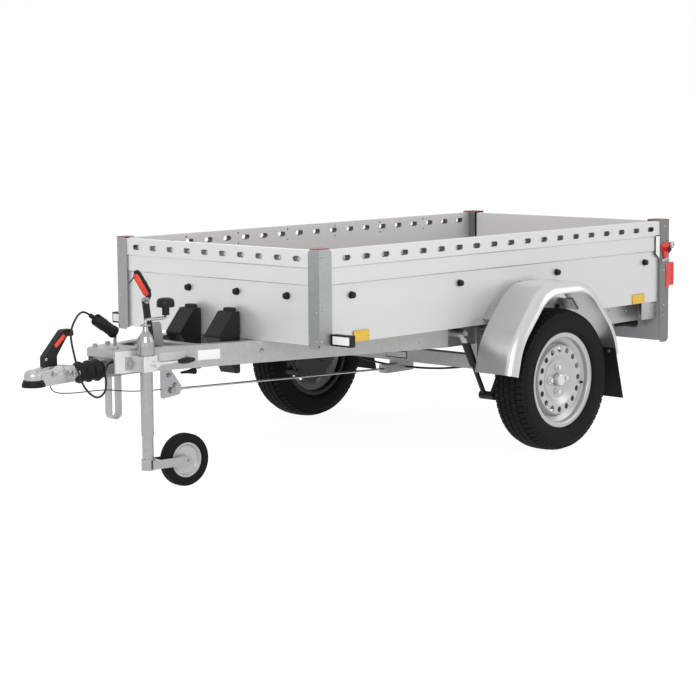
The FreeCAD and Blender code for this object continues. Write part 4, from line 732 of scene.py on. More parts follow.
@dataclass
class RoadTyre:
    """Road tyres with moulded sidewalls, ribs and shoulder blocks.

    Attributes:
        centre: Middle of the left wheel.
        tread_half: Half the width of the tread.
        shoulder_drop: Fall of the tread from its middle to its edge.
        shoulder_power: How late that fall begins.
        groove_depth: Depth of the grooves.
        block_root: Depth of the blocks' foot inside the casing.
        pitches: Blocks round the tyre.
        rows: Start, end and share of a pitch of each row of blocks.
        wall: Radius and distance across of one sidewall, from its bead.
        base: Stations of the tread's base.
    """

    centre: Triple = WHEEL_CENTRE
    tread_half: float = 0.0705
    shoulder_drop: float = 0.0125
    shoulder_power: float = 3.2
    groove_depth: float = 0.007
    block_root: float = 0.003
    pitches: int = 66
    rows: tuple[Triple, ...] = ((-0.0705, -0.0450, 0.80), (-0.0400, -0.0165, 0.93), (-0.0120, 0.0120, 0.95),
                                (0.0165, 0.0400, 0.93), (0.0450, 0.0705, 0.80))
    wall: Outline = (
        (0.1788, 0.0560), (0.1972, 0.0562), (0.1980, 0.0650), (0.2020, 0.0705), (0.2100, 0.0735), (0.2110, 0.0746),
        (0.2150, 0.0749), (0.2160, 0.0744), (0.2300, 0.0766), (0.2450, 0.0768), (0.2540, 0.0758), (0.2550, 0.0764),
        (0.2590, 0.0760), (0.2600, 0.0750), (0.2690, 0.0724), (0.2745, 0.0695))
    base: tuple[float, ...] = (0.064, 0.050, 0.032, 0.0, -0.032, -0.050, -0.064)

    def crown(self, across: float) -> float:
        """Radius of the tread at a distance from its middle line."""
        return self.centre[2] - self.shoulder_drop * (abs(across) / self.tread_half) ** self.shoulder_power

    def block(self, low: float, high: float, share: float) -> Piece:
        """One tread block at the top of a wheel that turns about the origin.

        Args:
            low: Start of its row.
            high: End of its row.
            share: Its share of a pitch.

        Returns:
            The block.
        """
        radius = self.centre[2]
        half = share * math.pi * radius / self.pitches
        piece = block((-half, low, 0.0), (half, high, radius))
        for vertex in piece.data.vertices:
            depth = 0.0 if vertex.co.z else self.groove_depth + self.block_root
            vertex.co.z = self.crown(vertex.co.y) - depth
        return rounded(piece, 0.0008, 1)

    def build(self) -> None:
        """Joins casing and tread, and stands for the plain tyres."""
        treads = []
        for row, (low, high, share) in enumerate(self.rows):
            turns = [FULL_TURN * (number + 0.5 * (row % 2)) / self.pitches for number in range(self.pitches)]
            treads += repeated(self.block(low, high, share), [
                Matrix.Translation(self.centre) @ Matrix.Rotation(turn, 4, "Y") for turn in turns])
        profile = (*self.wall, *((self.crown(across) - self.groove_depth, across) for across in self.base),
                   *((radius, -across) for radius, across in reversed(self.wall)))
        tyre = joined(*treads, turned(profile, self.centre, LEFTWARDS, steps=96))
        mount_on_wheels(("road_tyre_left", "road_tyre_right"), TYRE_RUBBER, smoothed(tyre, 30), "tyre")


@dataclass
class HoledBoards:
    """Side boards and front board, with long slots through the hollow strip at their top.

    Attributes:
        thick: Thickness of the strip.
        wall: Wall of the hollow strip.
        strip: Height of the strip.
        band: Height of the band below it.
        slope: Height of the slopes at the band.
        band_thick: Thickness of the band.
        skin_thick: Thickness of the board itself.
        slot_drop: Height from the board's top to the slots' middle.
        slot_radius: Radius of a slot's round ends.
        side_slots: Number, first station, pitch and length of the side boards' slots.
        front_slots: The same for the front board.
    """

    thick: float = 0.030
    wall: float = 0.0025
    strip: float = 0.065
    band: float = 0.065
    slope: float = 0.005
    band_thick: float = 0.026
    skin_thick: float = 0.021
    slot_drop: float = 0.034
    slot_radius: float = 0.0105
    side_slots: tuple[int, float, float, float] = (19, -1.438, 0.109, 0.046)
    front_slots: tuple[int, float, float, float] = (10, -0.45875, 0.1015, 0.042)

    @staticmethod
    def cut(board: Piece, cutter: Piece) -> None:
        """Takes a cutter out of a board and removes the cutter."""
        modify(board, "BOOLEAN", operation="DIFFERENCE", solver="EXACT", object=cutter)
        bpy.data.objects.remove(cutter)

    def slot(self, length: float) -> Outline:
        """Outline of one slot about its middle."""
        turns = [math.pi * (step / 10 - 0.5) for step in range(11)]
        right = [(length / 2 - self.slot_radius + self.slot_radius * math.cos(turn),
                  self.slot_radius * math.sin(turn)) for turn in turns]
        return right + [(-along, -up) for along, up in right]

    def board(self, node: str, along: Triple, outwards: Triple, slots: tuple[int, float, float, float]) -> Piece:
        """One board in the place of its node.

        Args:
            node: CAD node that it stands for.
            along: Direction of its length.
            outwards: Direction that its outer face looks in.
            slots: Number, first station, pitch and length of its slots.

        Returns:
            The board.
        """
        low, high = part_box(node)
        start, end = (corner[along.index(1)] for corner in (low, high))
        outer, top = high[outwards.index(1)], high[2]
        inner, under = outer - self.thick, top - self.strip
        skin, band = inner + self.skin_thick, inner + self.band_thick
        section = ((inner, low[2]), (skin, low[2]), (skin, under - self.band - self.slope), (band, under - self.band),
                   (band, under - self.slope), (outer, under), (outer, top), (inner, top))
        near, far, floor, roof = outer - self.wall, inner + self.wall, under + self.wall, top - self.wall
        hand = Vector(UPWARDS).cross(along).dot(outwards)
        board, chamber = (stand(plate([(hand * reach, level) for reach, level in outline], end - start),
                                start * Vector(along), along)
                          for outline in (section, ((near, floor), (near, roof), (far, roof), (far, floor))))
        self.cut(board, chamber)
        count, first, pitch, length = slots
        root = outer * Vector(outwards) + (top - self.slot_drop) * Vector(UPWARDS) - 2 * self.thick * Vector(outwards)
        cutters = repeated(plate(self.slot(length), 3 * self.thick), [
            upright(root + (first + pitch * number) * Vector(along), outwards) for number in range(count)])
        self.cut(board, joined(*cutters))
        return board

    def build(self) -> None:
        """Places the three boards."""
        left = self.board("side_panel_left", FORWARDS, LEFTWARDS, self.side_slots)
        right = mirrored(left)
        front = self.board("front_panel", LEFTWARDS, FORWARDS, self.front_slots)
        mount("side_board_left", BOARD_ALONG, left, stands_for="side_panel_left")
        mount("side_board_right", BOARD_ALONG, right, stands_for="side_panel_right")
        mount("front_board", BOARD_ACROSS_LIT, front, stands_for="front_panel")


@dataclass
class TarpKnobs:
    """Black mushroom knobs for a tarpaulin's cord, on both sides and in front."""

    level: float = 0.710
    count: int = 4
    first_x: float = 0.490
    pitch: float = -0.631
    first_y: float = -0.432
    front_pitch: float = 0.2755
    profile: Outline = (
        (0.0, 0.0), (0.0145, 0.0), (0.0145, 0.0015), (0.0125, 0.0030), (0.0075, 0.0036), (0.0068, 0.0060),
        (0.0075, 0.0085), (0.0115, 0.0100), (0.0125, 0.0125), (0.0115, 0.0155), (0.0080, 0.0172), (0.0, 0.0180))

    def build(self) -> None:
        """All knobs as one piece."""
        moves = []
        for number in range(self.count):
            moves.append(upright((SKIN_X, self.first_y + number * self.front_pitch, self.level), FORWARDS))
            moves += [upright((self.first_x + number * self.pitch, side.value * SKIN_Y, self.level),
                              (0, side.value, 0)) for side in Side]
        knobs = repeated(turned(self.profile, (0, 0, 0), UPWARDS, steps=28), moves)
        mount("tarp_knob_heads", BLACK_PLASTIC, *knobs, stands_for="tarp_knobs")


@dataclass
class Cord:
    """Loose cord, a smooth line through its control points.

    Attributes:
        name: Name of the piece.
        stands_for: CAD node that it replaces.
        diameter: Its diameter.
        length: Its real length; not used.
        far_end: What is at its end; not used.
        route: Its control points, from where it leaves the trailer.
        carries: CAD nodes on it; not used.
    """

    name: str
    stands_for: str
    diameter: float
    length: float
    far_end: str
    route: tuple[Triple, ...]
    carries: tuple[str, ...] = ()

    def build(self) -> None:
        """Curve along the route, dressed and hung on the chassis in place of its CAD node."""
        curve = bpy.data.curves.new(self.name, "CURVE")
        curve.dimensions = "3D"
        curve.bevel_depth = self.diameter / 2
        curve.bevel_resolution = 4
        curve.use_fill_caps = True
        spline = curve.splines.new("NURBS")
        spline.points.add(len(self.route) - 1)
        for point, spot in zip(spline.points, self.route):
            point.co = (*spot, 1.0)
        spline.order_u = 3
        spline.use_endpoint_u = True
        spline.resolution_u = 12
        cord = bpy.data.objects.new(self.name, curve)
        bpy.context.scene.collection.objects.link(cord)
        mount(self.name, SHEATH, cord, stands_for=self.stands_for)


LIGHT_LEAD = Cord("light_lead", "light_cable", 0.008, 0.675, "plug", (
    (1.2370, 0.055, 0.489), (1.2630, 0.055, 0.484), (1.2790, 0.056, 0.467), (1.2820, 0.056, 0.444),
    (1.2760, 0.056, 0.415), (1.2820, 0.056, 0.378), (1.3160, 0.057, 0.358), (1.3560, 0.060, 0.376),
    (1.3900, 0.062, 0.412), (1.4100, 0.062, 0.455), (1.4200, 0.060, 0.500), (1.4280, 0.054, 0.545),
    (1.4280, 0.042, 0.588), (1.4120, 0.024, 0.618), (1.3720, -0.004, 0.647), (1.3220, -0.036, 0.669),
    (1.2842, -0.050, 0.6714), (1.2590, -0.050, 0.655)), ("light_plug",))
BREAKAWAY_WIRE = Cord("breakaway_wire", "breakaway_cable", 0.004, 0.566, "object", (
    (0.9680, 0.0095, 0.350), (1.0210, 0.012, 0.351), (1.0760, 0.018, 0.356), (1.1310, 0.026, 0.362),
    (1.1880, 0.030, 0.370), (1.2460, 0.032, 0.381), (1.3040, 0.034, 0.385), (1.3620, 0.036, 0.386),
    (1.4180, 0.037, 0.388), (1.4620, 0.034, 0.391), (1.4940, 0.028, 0.397), (1.5090, 0.022, 0.410),
    (1.5120, 0.020, 0.425)))


@dataclass
class Fixings:
    """Rivets and hexagon bolts of both sides that share a finish.

    Attributes:
        name: Name of the joined piece.
        finish: Surface of all heads.
        rows: Kind, radius, facing direction and left-hand places of each row.
    """

    name: str
    finish: Finish
    rows: tuple[tuple[Head, float, Triple, tuple[Triple, ...]], ...]

    def build(self) -> None:
        """All heads as one piece."""
        heads = []
        for kind, radius, facing, places in self.rows:
            heads += repeated(fastener(kind, radius), [upright(spot, facing) for spot in places])
        mount(self.name, self.finish, *heads, both=True)


BRIGHT_FIXINGS = Fixings("bright_fixings", BRIGHT_ZINC, (
    (Head.RIVET, 0.0055, FORWARDS, ((FRONT_X, 0.5575, 0.866), (FRONT_X, 0.5575, 0.655), (FRONT_X, 0.5575, 0.548))),
    (Head.RIVET, 0.0035, FORWARDS, ((FRONT_X, 0.527, 0.862), (FRONT_X, 0.533, 0.567), (FRONT_X, 0.527, 0.705))),
    (Head.RIVET, 0.0055, LEFTWARDS, tuple((0.659, HALF_WIDTH, level) for level in (0.866, 0.667, 0.548))),
    (Head.RIVET, 0.0048, LEFTWARDS, tuple((-1.537, HALF_WIDTH, level) for level in (0.512, 0.467, 0.866, 0.667))),
    (Head.BOLT, 0.0085, BACKWARDS, tuple((REAR_X, 0.545, level) for level in (0.862, 0.535, 0.475, 0.385))),
    (Head.RIVET, 0.0045, LEFTWARDS, ((-1.373, RAIL_Y, 0.493), (-1.240, RAIL_Y, 0.500), (0.022, RAIL_Y, 0.479),
                                     (-1.472, GUSSET_Y, 0.512), (-1.472, GUSSET_Y, 0.472))),
    (Head.BOLT, 0.0070, LEFTWARDS, ((-1.481, STRAP_Y, 0.472), (-1.500, GUSSET_Y, 0.491))),
    (Head.BOLT, 0.0095, LEFTWARDS, ((-0.184, 0.5590, 0.500), *((x, 0.4960, level) for level in (0.470, 0.500)
                                                               for x in (-0.364, -0.424)))),
    (Head.RIVET, 0.0035, LEFTWARDS, ((0.404, 0.5665, 0.551), (-1.392, 0.5665, 0.551))),
    (Head.BOLT, 0.0075, FORWARDS, ((-0.8685, 0.655, 0.383), (-0.8685, 0.765, 0.383))),
))
DARK_FIXINGS = Fixings("dark_fixings", BLACK_PAINT, (
    (Head.BOLT, 0.0100, LEFTWARDS, ((-0.324, 0.5960, 0.235), (-0.770, 0.5680, 0.565))),
    (Head.RIVET, 0.0040, FORWARDS, ((FRONT_X, 0.572, 0.530),)),
    (Head.RIVET, 0.0035, (0, -1, 0), tuple((0.325 - 0.300 * step, 0.5415, level)
                                           for step in range(6) for level in (0.829, 0.874))),
))


@dataclass
class WheelTrim:
    """Hexagon wheel bolts on round seats, the hub cap's rim, and rubber valves."""

    centre: Triple = WHEEL_CENTRE
    face: float = 0.736
    bolt_circle: float = 0.050
    bolt_radius: float = 0.0105
    bolt_reach: float = 0.0165
    seat_reach: float = 0.006
    bolt_count: int = 4
    cap_radius: float = 0.0225
    cap_face: float = 0.7578
    cap_line: Outline = ((0.0, 0.0), (1.0, 0.0), (1.0, 0.0020), (0.9, 0.0032), (0.75, 0.0026), (0.70, 0.0012),
                         (0.0, 0.0012))
    valve_radius: float = 0.152
    valve_angle: float = math.radians(190)
    valve_root: float = 0.722
    valve_lean: float = 0.30
    valve_line: Outline = ((0.0, 0.0), (0.0085, 0.0), (0.0080, 0.006), (0.0050, 0.010), (0.0046, 0.026),
                           (0.0056, 0.028), (0.0056, 0.038), (0.0, 0.039))

    def spot(self, radius: float, angle: float, across: float) -> Vector:
        """Place on the left wheel, the angle from straight ahead and upwards."""
        x, _, z = self.centre
        return Vector((x + radius * math.cos(angle), across, z + radius * math.sin(angle)))

    def build(self) -> None:
        """Places bolts with the cap's rim, and the valves."""
        heads = []
        for number in range(self.bolt_count):
            start = self.spot(self.bolt_circle, FULL_TURN * number / self.bolt_count + QUARTER_TURN, self.face)
            heads.append(rod(self.bolt_radius, start, start + Vector((0, self.bolt_reach, 0)), 0.0014, 6))
            heads.append(rod(1.3 * self.bolt_radius, start, start + Vector((0, self.seat_reach, 0)), 0.001, 24))
        ring = [(self.cap_radius * share, height) for share, height in self.cap_line]
        heads.append(turned(ring, (self.centre[0], self.cap_face, self.centre[2]), LEFTWARDS, steps=32))
        mount_on_wheels(("wheel_bolts_left", "wheel_bolts_right.001"), CLAMP_ZINC, joined(*heads))
        root = self.spot(self.valve_radius, self.valve_angle, self.valve_root)
        inwards = self.spot(0, 0, 0) - self.spot(self.valve_lean, self.valve_angle, 0) + Vector(LEFTWARDS)
        valve = turned(self.valve_line, root, inwards, steps=20)
        mount_on_wheels(("valve_left", "valve_right.001"), SOFT_RUBBER, valve)


@dataclass
class Lamps:
    """Lenses on the marker lamps, chambers on the rear lamps and rims on the reflectors.

    Attributes:
        lens: Corners of the left marker lamp's lens.
        amber: Corners of the left rear lamp's raised amber chamber.
        wing: Corners of its red wing round the post.
        seams: Corners of the dark seams across it.
        foot: Corners of the dark foot behind it.
        reflectors: Ends of the side reflectors.
        reflector_low: Lower edge of the reflectors.
        reflector_high: Upper edge of the reflectors.
        rim: Width of the reflectors' rims.
        rim_depth: How far the rims stand out.
    """

    lens: Box = ((0.616, 0.588, 0.5355), (0.623, 0.6735, 0.5665))
    amber: Box = ((-1.614, 0.5105, 0.668), (-1.608, 0.5685, 0.694))
    wing: Box = ((-1.576, 0.5735, 0.586), (-1.550, 0.5767, 0.699))
    seams: tuple[Box, Box] = (((-1.614, 0.5045, 0.6300), (-1.590, 0.5749, 0.6316)),
                              ((-1.614, 0.5045, 0.6645), (-1.590, 0.5749, 0.6661)))
    foot: Box = ((-1.5765, 0.5005, 0.5905), (REAR_X, 0.5753, 0.7035))
    reflectors: Outline = ((0.396, 0.482), (-1.400, -1.314))
    reflector_low: float = 0.530
    reflector_high: float = 0.572
    rim: float = 0.0025
    rim_depth: float = 0.005

    def build(self) -> None:
        """Places lenses, chambers, wings, seams with the feet, and rims."""
        mount("marker_lenses", LENS_CLEAR, block(*self.lens, 0.003, 3), both=True)
        mount("lamp_ambers", LENS_AMBER, block(*self.amber, 0.0015), both=True)
        mount("lamp_wings", LENS_RED, block(*self.wing, 0.0010), both=True)
        mount("lamp_seams", BLACK_PLASTIC, *(block(*seam, 0.0004) for seam in self.seams),
              block(*self.foot, 0.0008), both=True)
        low, high, wide = self.reflector_low, self.reflector_high, self.rim
        rims = [block((x_low, SKIN_Y, z_low), (x_high, SKIN_Y + self.rim_depth, z_high), 0.0006)
                for start, end in self.reflectors
                for x_low, z_low, x_high, z_high in ((start, low, end, low + wide), (start, high - wide, end, high),
                                                     (start, low, start + wide, high), (end - wide, low, end, high))]
        mount("reflector_rims", LENS_AMBER, *rims, both=True)


@dataclass
class Latches:
    """Ring, black knob and hook on each red latch, and the striker plate on the side board."""

    knob_spot: Triple = (-1.543, 0.5960, 0.760)
    knob_line: Outline = ((0.0, 0.0), (0.0125, 0.0), (0.0130, 0.0030), (0.0105, 0.0055), (0.0060, 0.0060),
                          (0.0, 0.0060))
    ring_spot: Triple = (-1.583, 0.5860, 0.778)
    ring_radius: float = 0.0130
    ring_wire: float = 0.0028
    hook: Outline = ((-1.583, 0.712), (-1.513, 0.706), (-1.513, 0.714), (-1.550, 0.724))
    striker_side: float = 0.5710
    striker_middle: tuple[float, float] = (-1.4922, 0.778)
    striker_corners: Outline = ((-1.5058, 0.722), (-1.4775, 0.745), (-1.4775, 0.8225), (-1.5058, 0.8225))

    def striker(self, grow: float, thickness: float) -> Piece:
        """Plate on the side board, larger than its outline by a margin."""
        x, z = self.striker_middle
        corners = [(along + math.copysign(grow, along - x), up + math.copysign(grow, up - z))
                   for along, up in self.striker_corners]
        return side_plate(corners, self.striker_side, thickness)

    def build(self) -> None:
        """Places rings, knobs, hooks and plates of both sides."""
        mount("latch_knobs", BLACK_PLASTIC, turned(self.knob_line, self.knob_spot, LEFTWARDS, steps=28), both=True)
        pick()
        bpy.ops.mesh.primitive_torus_add(location=self.ring_spot, rotation=(QUARTER_TURN, 0, 0),
                                         major_radius=self.ring_radius, minor_radius=self.ring_wire,
                                         major_segments=28, minor_segments=10)
        ring = smoothed(settle(bpy.context.object), 60)
        x, y, z = self.ring_spot
        boss = rod(0.0075, (x + 0.006, y - 0.0115, z), (x + 0.006, y + 0.003, z), 0.001, 24)
        mount("latch_rings", BRIGHT_ZINC, ring, boss, side_plate(self.hook, HALF_WIDTH, 0.007, 0.001), both=True)
        mount("striker_edges", BLACK_PLASTIC, self.striker(0.0042, 0.0008), both=True)
        mount("striker_plates", LABEL_WHITE, self.striker(0.0, 0.0016), both=True)


@dataclass
class BeamTrim:
    """Plates, bolts and cable cones on the drawbar beams, at the axle and at the rear rails.

    Attributes:
        nose: X and Y of the left beam's outer face at its front end.
        spread: Growth of Y for each metre backwards.
        facing: Direction that the outer face looks in.
        cone_line: Outline of a cable cone, as shares of its radius and length.
        cones: Tip, length and radius of the front and the rear cable cone.
        end_plate: Front, rear, lower and upper edge, thickness and rounding of the plate at the beam's front end.
        pad: The same for the pad under a bolt.
        pad_bolt: Radius, X, Z and lift of that bolt.
        label: Edges and thickness of the grey blank label.
        blank: Edges, thickness and rounding of the white blank plate.
        rivets: X and Z of the rivets beside it.
        rivet_radius: Radius of those rivets.
        bolt: Radius, X and Z of the bolt behind them.
        axle_plate: X, lowest Y, highest Y, lowest Z and highest Z of the axle's blank plate.
        straps: Corners of the strap and of the gusset at the rear end of the rail.
    """

    nose: tuple[float, float] = (1.253, 0.075)
    spread: float = 0.415 / 1.407
    facing: Triple = (0.2829, 0.9592, 0.0)
    cone_line: Outline = ((0.0, 0.0), (0.30, 0.0), (0.36, 0.05), (0.50, 0.45), (0.92, 0.90), (1.0, 0.94),
                          (1.0, 1.0), (0.0, 1.0))
    cones: tuple[tuple[Triple, float, float], ...] = (((0.990, 0.150, 0.4290), 0.070, 0.0130),
                                                      ((-1.318, 0.470, 0.4300), 0.144, 0.0200))
    end_plate: tuple[float, ...] = (1.250, 1.157, 0.4445, 0.5265, 0.003, 0.001)
    pad: tuple[float, ...] = (1.211, 1.180, 0.455, 0.504, 0.007, 0.001)
    pad_bolt: tuple[float, ...] = (0.0105, 1.1955, 0.4795, 0.007)
    label: tuple[float, ...] = (1.078, 0.975, 0.480, 0.510, 0.0006)
    blank: tuple[float, ...] = (0.924, 0.8335, 0.4708, 0.508, 0.0014, 0.0005)
    rivets: Outline = ((0.9395, 0.4847), (0.8201, 0.4866))
    rivet_radius: float = 0.0035
    bolt: Triple = (0.0085, 0.662, 0.4886)
    axle_plate: tuple[float, ...] = (-0.366, -0.036, 0.074, 0.346, 0.369)
    straps: tuple[Box, Box] = (((-1.500, RAIL_Y, 0.452), (-1.462, STRAP_Y, 0.527)),
                               ((-1.506, 0.5505, 0.452), (-1.400, GUSSET_Y, 0.529)))

    def spot(self, x: float, z: float, lift: float = 0.0) -> Vector:
        """Place on the outer face of the left beam, or lifted from it."""
        x_nose, y_nose = self.nose
        return Vector((x, y_nose + (x_nose - x) * self.spread, z)) + lift * Vector(self.facing)

    def plate(self, start: float, end: float, low: float, high: float, thickness: float,
              bevel: float = 0.0) -> Piece:
        """Plate on the left beam.

        Args:
            start: Its front station.
            end: Its rear station.
            low: Its lower edge.
            high: Its upper edge.
            thickness: Its thickness.
            bevel: Width of the rounding on its edges.

        Returns:
            The plate.
        """
        length = (start - end) / self.facing[1]
        corners = ((0, low), (length, low), (length, high), (0, high))
        return stand(plate(corners, thickness, bevel), self.spot(start, 0), self.facing)

    def head(self, kind: Head, radius: float, x: float, z: float, lift: float = 0.0) -> Piece:
        """Fastener on the left beam."""
        return stand(fastener(kind, radius), self.spot(x, z, lift), self.facing)

    def cone(self, tip: Place, length: float, radius: float) -> Piece:
        """Rubber cone round a brake cable, its tip to the front."""
        line = [(radius * reach, length * along) for reach, along in self.cone_line]
        return turned(line, tip, BACKWARDS, steps=28)

    def build(self) -> None:
        """Places plates, bolts, blank labels, cones and straps."""
        mount("beam_end_plates", CLAMP_ZINC, self.plate(*self.end_plate), both=True)
        mount("beam_pads", POST_ZINC, self.plate(*self.pad), self.head(Head.BOLT, *self.pad_bolt), both=True)
        mount("blank_label", LABEL_GREY, self.plate(*self.label))
        mount("blank_plate", LABEL_WHITE, self.plate(*self.blank))
        rivets = [self.head(Head.RIVET, self.rivet_radius, *spot) for spot in self.rivets]
        mount("plate_rivets", BRIGHT_ZINC, *rivets, self.head(Head.BOLT, *self.bolt))
        x, y_low, y_high, z_low, z_high = self.axle_plate
        for name, margin, lift, finish in (("axle_plate_edge", 0.0040, 0.0008, BLACK_PLASTIC),
                                           ("axle_plate", 0.0, 0.0014, LABEL_WHITE)):
            mount(name, finish, block((x - 0.001, y_low - margin, z_low - margin),
                                      (x + lift, y_high + margin, z_high + margin)))
        mount("cable_cones", SOFT_RUBBER, *(self.cone(*cone) for cone in self.cones), both=True)
        mount("rail_straps", DULL_ZINC, *(block(*corners, 0.001) for corners in self.straps), both=True)


@dataclass
class CouplingTrim:
    """Red inlays and ribs of the coupling's handle, cheek plates and the collar's boss."""

    handle_half: float = 0.014
    neck_half: float = 0.026
    inlay_start: tuple[float, float] = (1.4795, 0.5620)
    inlay_end: tuple[float, float] = (1.4340, 0.6015)
    inlay_radius: float = 0.0080
    underside: Outline = ((1.472, 0.5290), (1.4215, 0.5980), (1.3920, 0.5980), (1.3920, 0.5945), (1.4195, 0.5945),
                          (1.4690, 0.5270))
    cheek: Outline = ((1.568, 0.457), (1.489, 0.494), (1.409, 0.486), (1.407, 0.432), (1.541, 0.437))
    ribs: tuple[float, ...] = (1.477, 1.486, 1.495, 1.504, 1.513)
    pivot: tuple[float, float] = (1.522, 0.520)
    bolts: Outline = ((1.430, 0.462), (1.500, 0.466))
    boss: tuple[float, float] = (1.3973, 0.4595)

    def inlay(self) -> Piece:
        """Long oval on the handle's left side."""
        start, end = Vector(self.inlay_start), Vector(self.inlay_end)
        along = (end - start).normalized()
        corners = []
        for middle, first in ((end, -0.5), (start, 0.5)):
            for step in range(9):
                reach = Matrix.Rotation((first + step / 8) * math.pi, 2) @ along * self.inlay_radius
                corners.append(tuple(middle - along * math.copysign(self.inlay_radius, -first) + reach))
        return side_plate(corners, self.handle_half - 0.0010, 0.0022, 0.0006)

    def build(self) -> None:
        """Places the trim of both sides."""
        half = self.handle_half
        strip = side_plate(self.underside, -0.8 * half, 1.6 * half, 0.0006)
        inlay = self.inlay()
        mount("handle_inlays", LEVER_RED, inlay, mirrored(inlay), strip)
        mount("handle_ribs", BLACK_PLASTIC, *(block((x, half - 0.001, 0.495), (x + 0.004, half + 0.002, 0.522), 0.0010)
                                              for x in self.ribs), both=True)
        mount("coupling_cheeks", CAST_GREY, side_plate(self.cheek, self.neck_half - 0.001, 0.0030, 0.0012), both=True)
        (pivot_x, pivot_z), (boss_x, boss_z), reach = self.pivot, self.boss, half + 0.002
        pivot = rod(0.0055, (pivot_x, -reach, pivot_z), (pivot_x, reach, pivot_z), 0.001, 24)
        bolts = repeated(fastener(Head.BOLT, 0.0090), [upright((x, self.neck_half + 0.002, z), LEFTWARDS)
                                                       for x, z in self.bolts])
        boss = rod(0.0100, (boss_x, 0.036, boss_z), (boss_x, 0.046, boss_z), 0.0015, 28)
        mount("coupling_bolts", BRIGHT_ZINC, pivot, *bolts, boss)


@dataclass
class HandbrakeTrim:
    """Red shell, joint disc and button rod of the handbrake."""

    side: float = 0.036
    grip_low: tuple[float, float] = (1.0460, 0.7240)
    grip_high: tuple[float, float] = (1.1040, 0.8070)
    grip_radius: float = 0.0125
    grip_line: Outline = ((0.0, 0.0), (0.6, 0.0), (0.92, 0.05), (1.0, 0.15), (0.94, 0.30), (1.0, 0.42), (0.94, 0.56),
                          (1.0, 0.70), (0.96, 0.90), (0.7, 1.0), (0.0, 1.0))
    forwards: float = 0.0075
    backwards: float = 0.0040
    joint: tuple[float, float] = (1.061, 0.700)
    pivot: tuple[float, float] = (1.034, 0.516)
    rod_end: tuple[float, float] = (1.140, 0.770)

    def at(self, spot: tuple[float, float], out: float = 0.0) -> Vector:
        """Place from X and Z, at a distance from the lever's middle plane."""
        return Vector((spot[0], self.side + out, spot[1]))

    def build(self) -> None:
        """Places the handbrake's trim."""
        low, high = self.at(self.grip_low), self.at(self.grip_high)
        along = (high - low).normalized()
        ahead = Vector((along.z, 0, -along.x))
        line = [(self.grip_radius * reach, (high - low).length * height) for reach, height in self.grip_line]
        back = [(1.12 * reach, 1.04 * height) for reach, height in line]
        mount("grip_shell", LEVER_RED, turned(line, low + self.forwards * ahead, along, steps=32))
        mount("grip_back", BLACK_PLASTIC, turned(back, low - self.backwards * ahead, along, steps=32))
        disc = rod(0.0125, self.at(self.joint, -0.010), self.at(self.joint, 0.010), 0.001, 32)
        bolt = stand(fastener(Head.BOLT, 0.0060), self.at(self.joint, 0.010), LEFTWARDS)
        pivot = stand(fastener(Head.BOLT, 0.0085), self.at(self.pivot, 0.006), LEFTWARDS)
        mount("handbrake_joint", BRIGHT_ZINC, disc, bolt, pivot)
        root = high - 0.004 * along
        mount("button_rod", BLACK_PLASTIC, rod(0.0024, root, self.at(self.rod_end), 0.0006, 16))
        mount("button", BLACK_PLASTIC, rod(0.0070, root, high + 0.009 * along, 0.0015, 20))


@dataclass
class JockeyTrim:
    """Knurled head and neck rings of the jockey wheel's tube, and its crank's rounded knob."""

    axis: tuple[float, float] = (1.155, 0.142)
    knob_x: float = 1.054
    knob_low: float = 0.6835
    knob_line: Outline = ((0.0, 0.0), (0.0322, 0.0), (0.0338, 0.004), (0.0338, 0.016), (0.0320, 0.024),
                          (0.0270, 0.030), (0.0180, 0.033), (0.0, 0.034))
    head_radius: float = 0.0312
    head_low: float = 0.516
    head_high: float = 0.558
    ribs: int = 24
    rings: Outline = ((0.566, 0.0215), (0.590, 0.0185), (0.622, 0.0190))

    def build(self) -> None:
        """Places ribs on the head, rings on the neck and the knob."""
        x, y = self.axis
        feet = [(x + self.head_radius * math.cos(turn), y + self.head_radius * math.sin(turn))
                for turn in (FULL_TURN * number / self.ribs for number in range(self.ribs))]
        mount("jockey_knurls", BRIGHT_ZINC, *(rod(0.0022, (*foot, self.head_low), (*foot, self.head_high), 0.0008, 10)
                                              for foot in feet))
        lines = [(level, ((0.0, -0.003), (radius - 0.001, -0.003), (radius, -0.002), (radius, 0.002),
                          (radius - 0.001, 0.003), (0.0, 0.003))) for level, radius in self.rings]
        mount("jockey_rings", BRIGHT_ZINC, *(turned(line, (x, y, level), UPWARDS, steps=32) for level, line in lines))
        mount("crank_knob", BLACK_PLASTIC, turned(self.knob_line, (self.knob_x, y, self.knob_low), UPWARDS, steps=40))


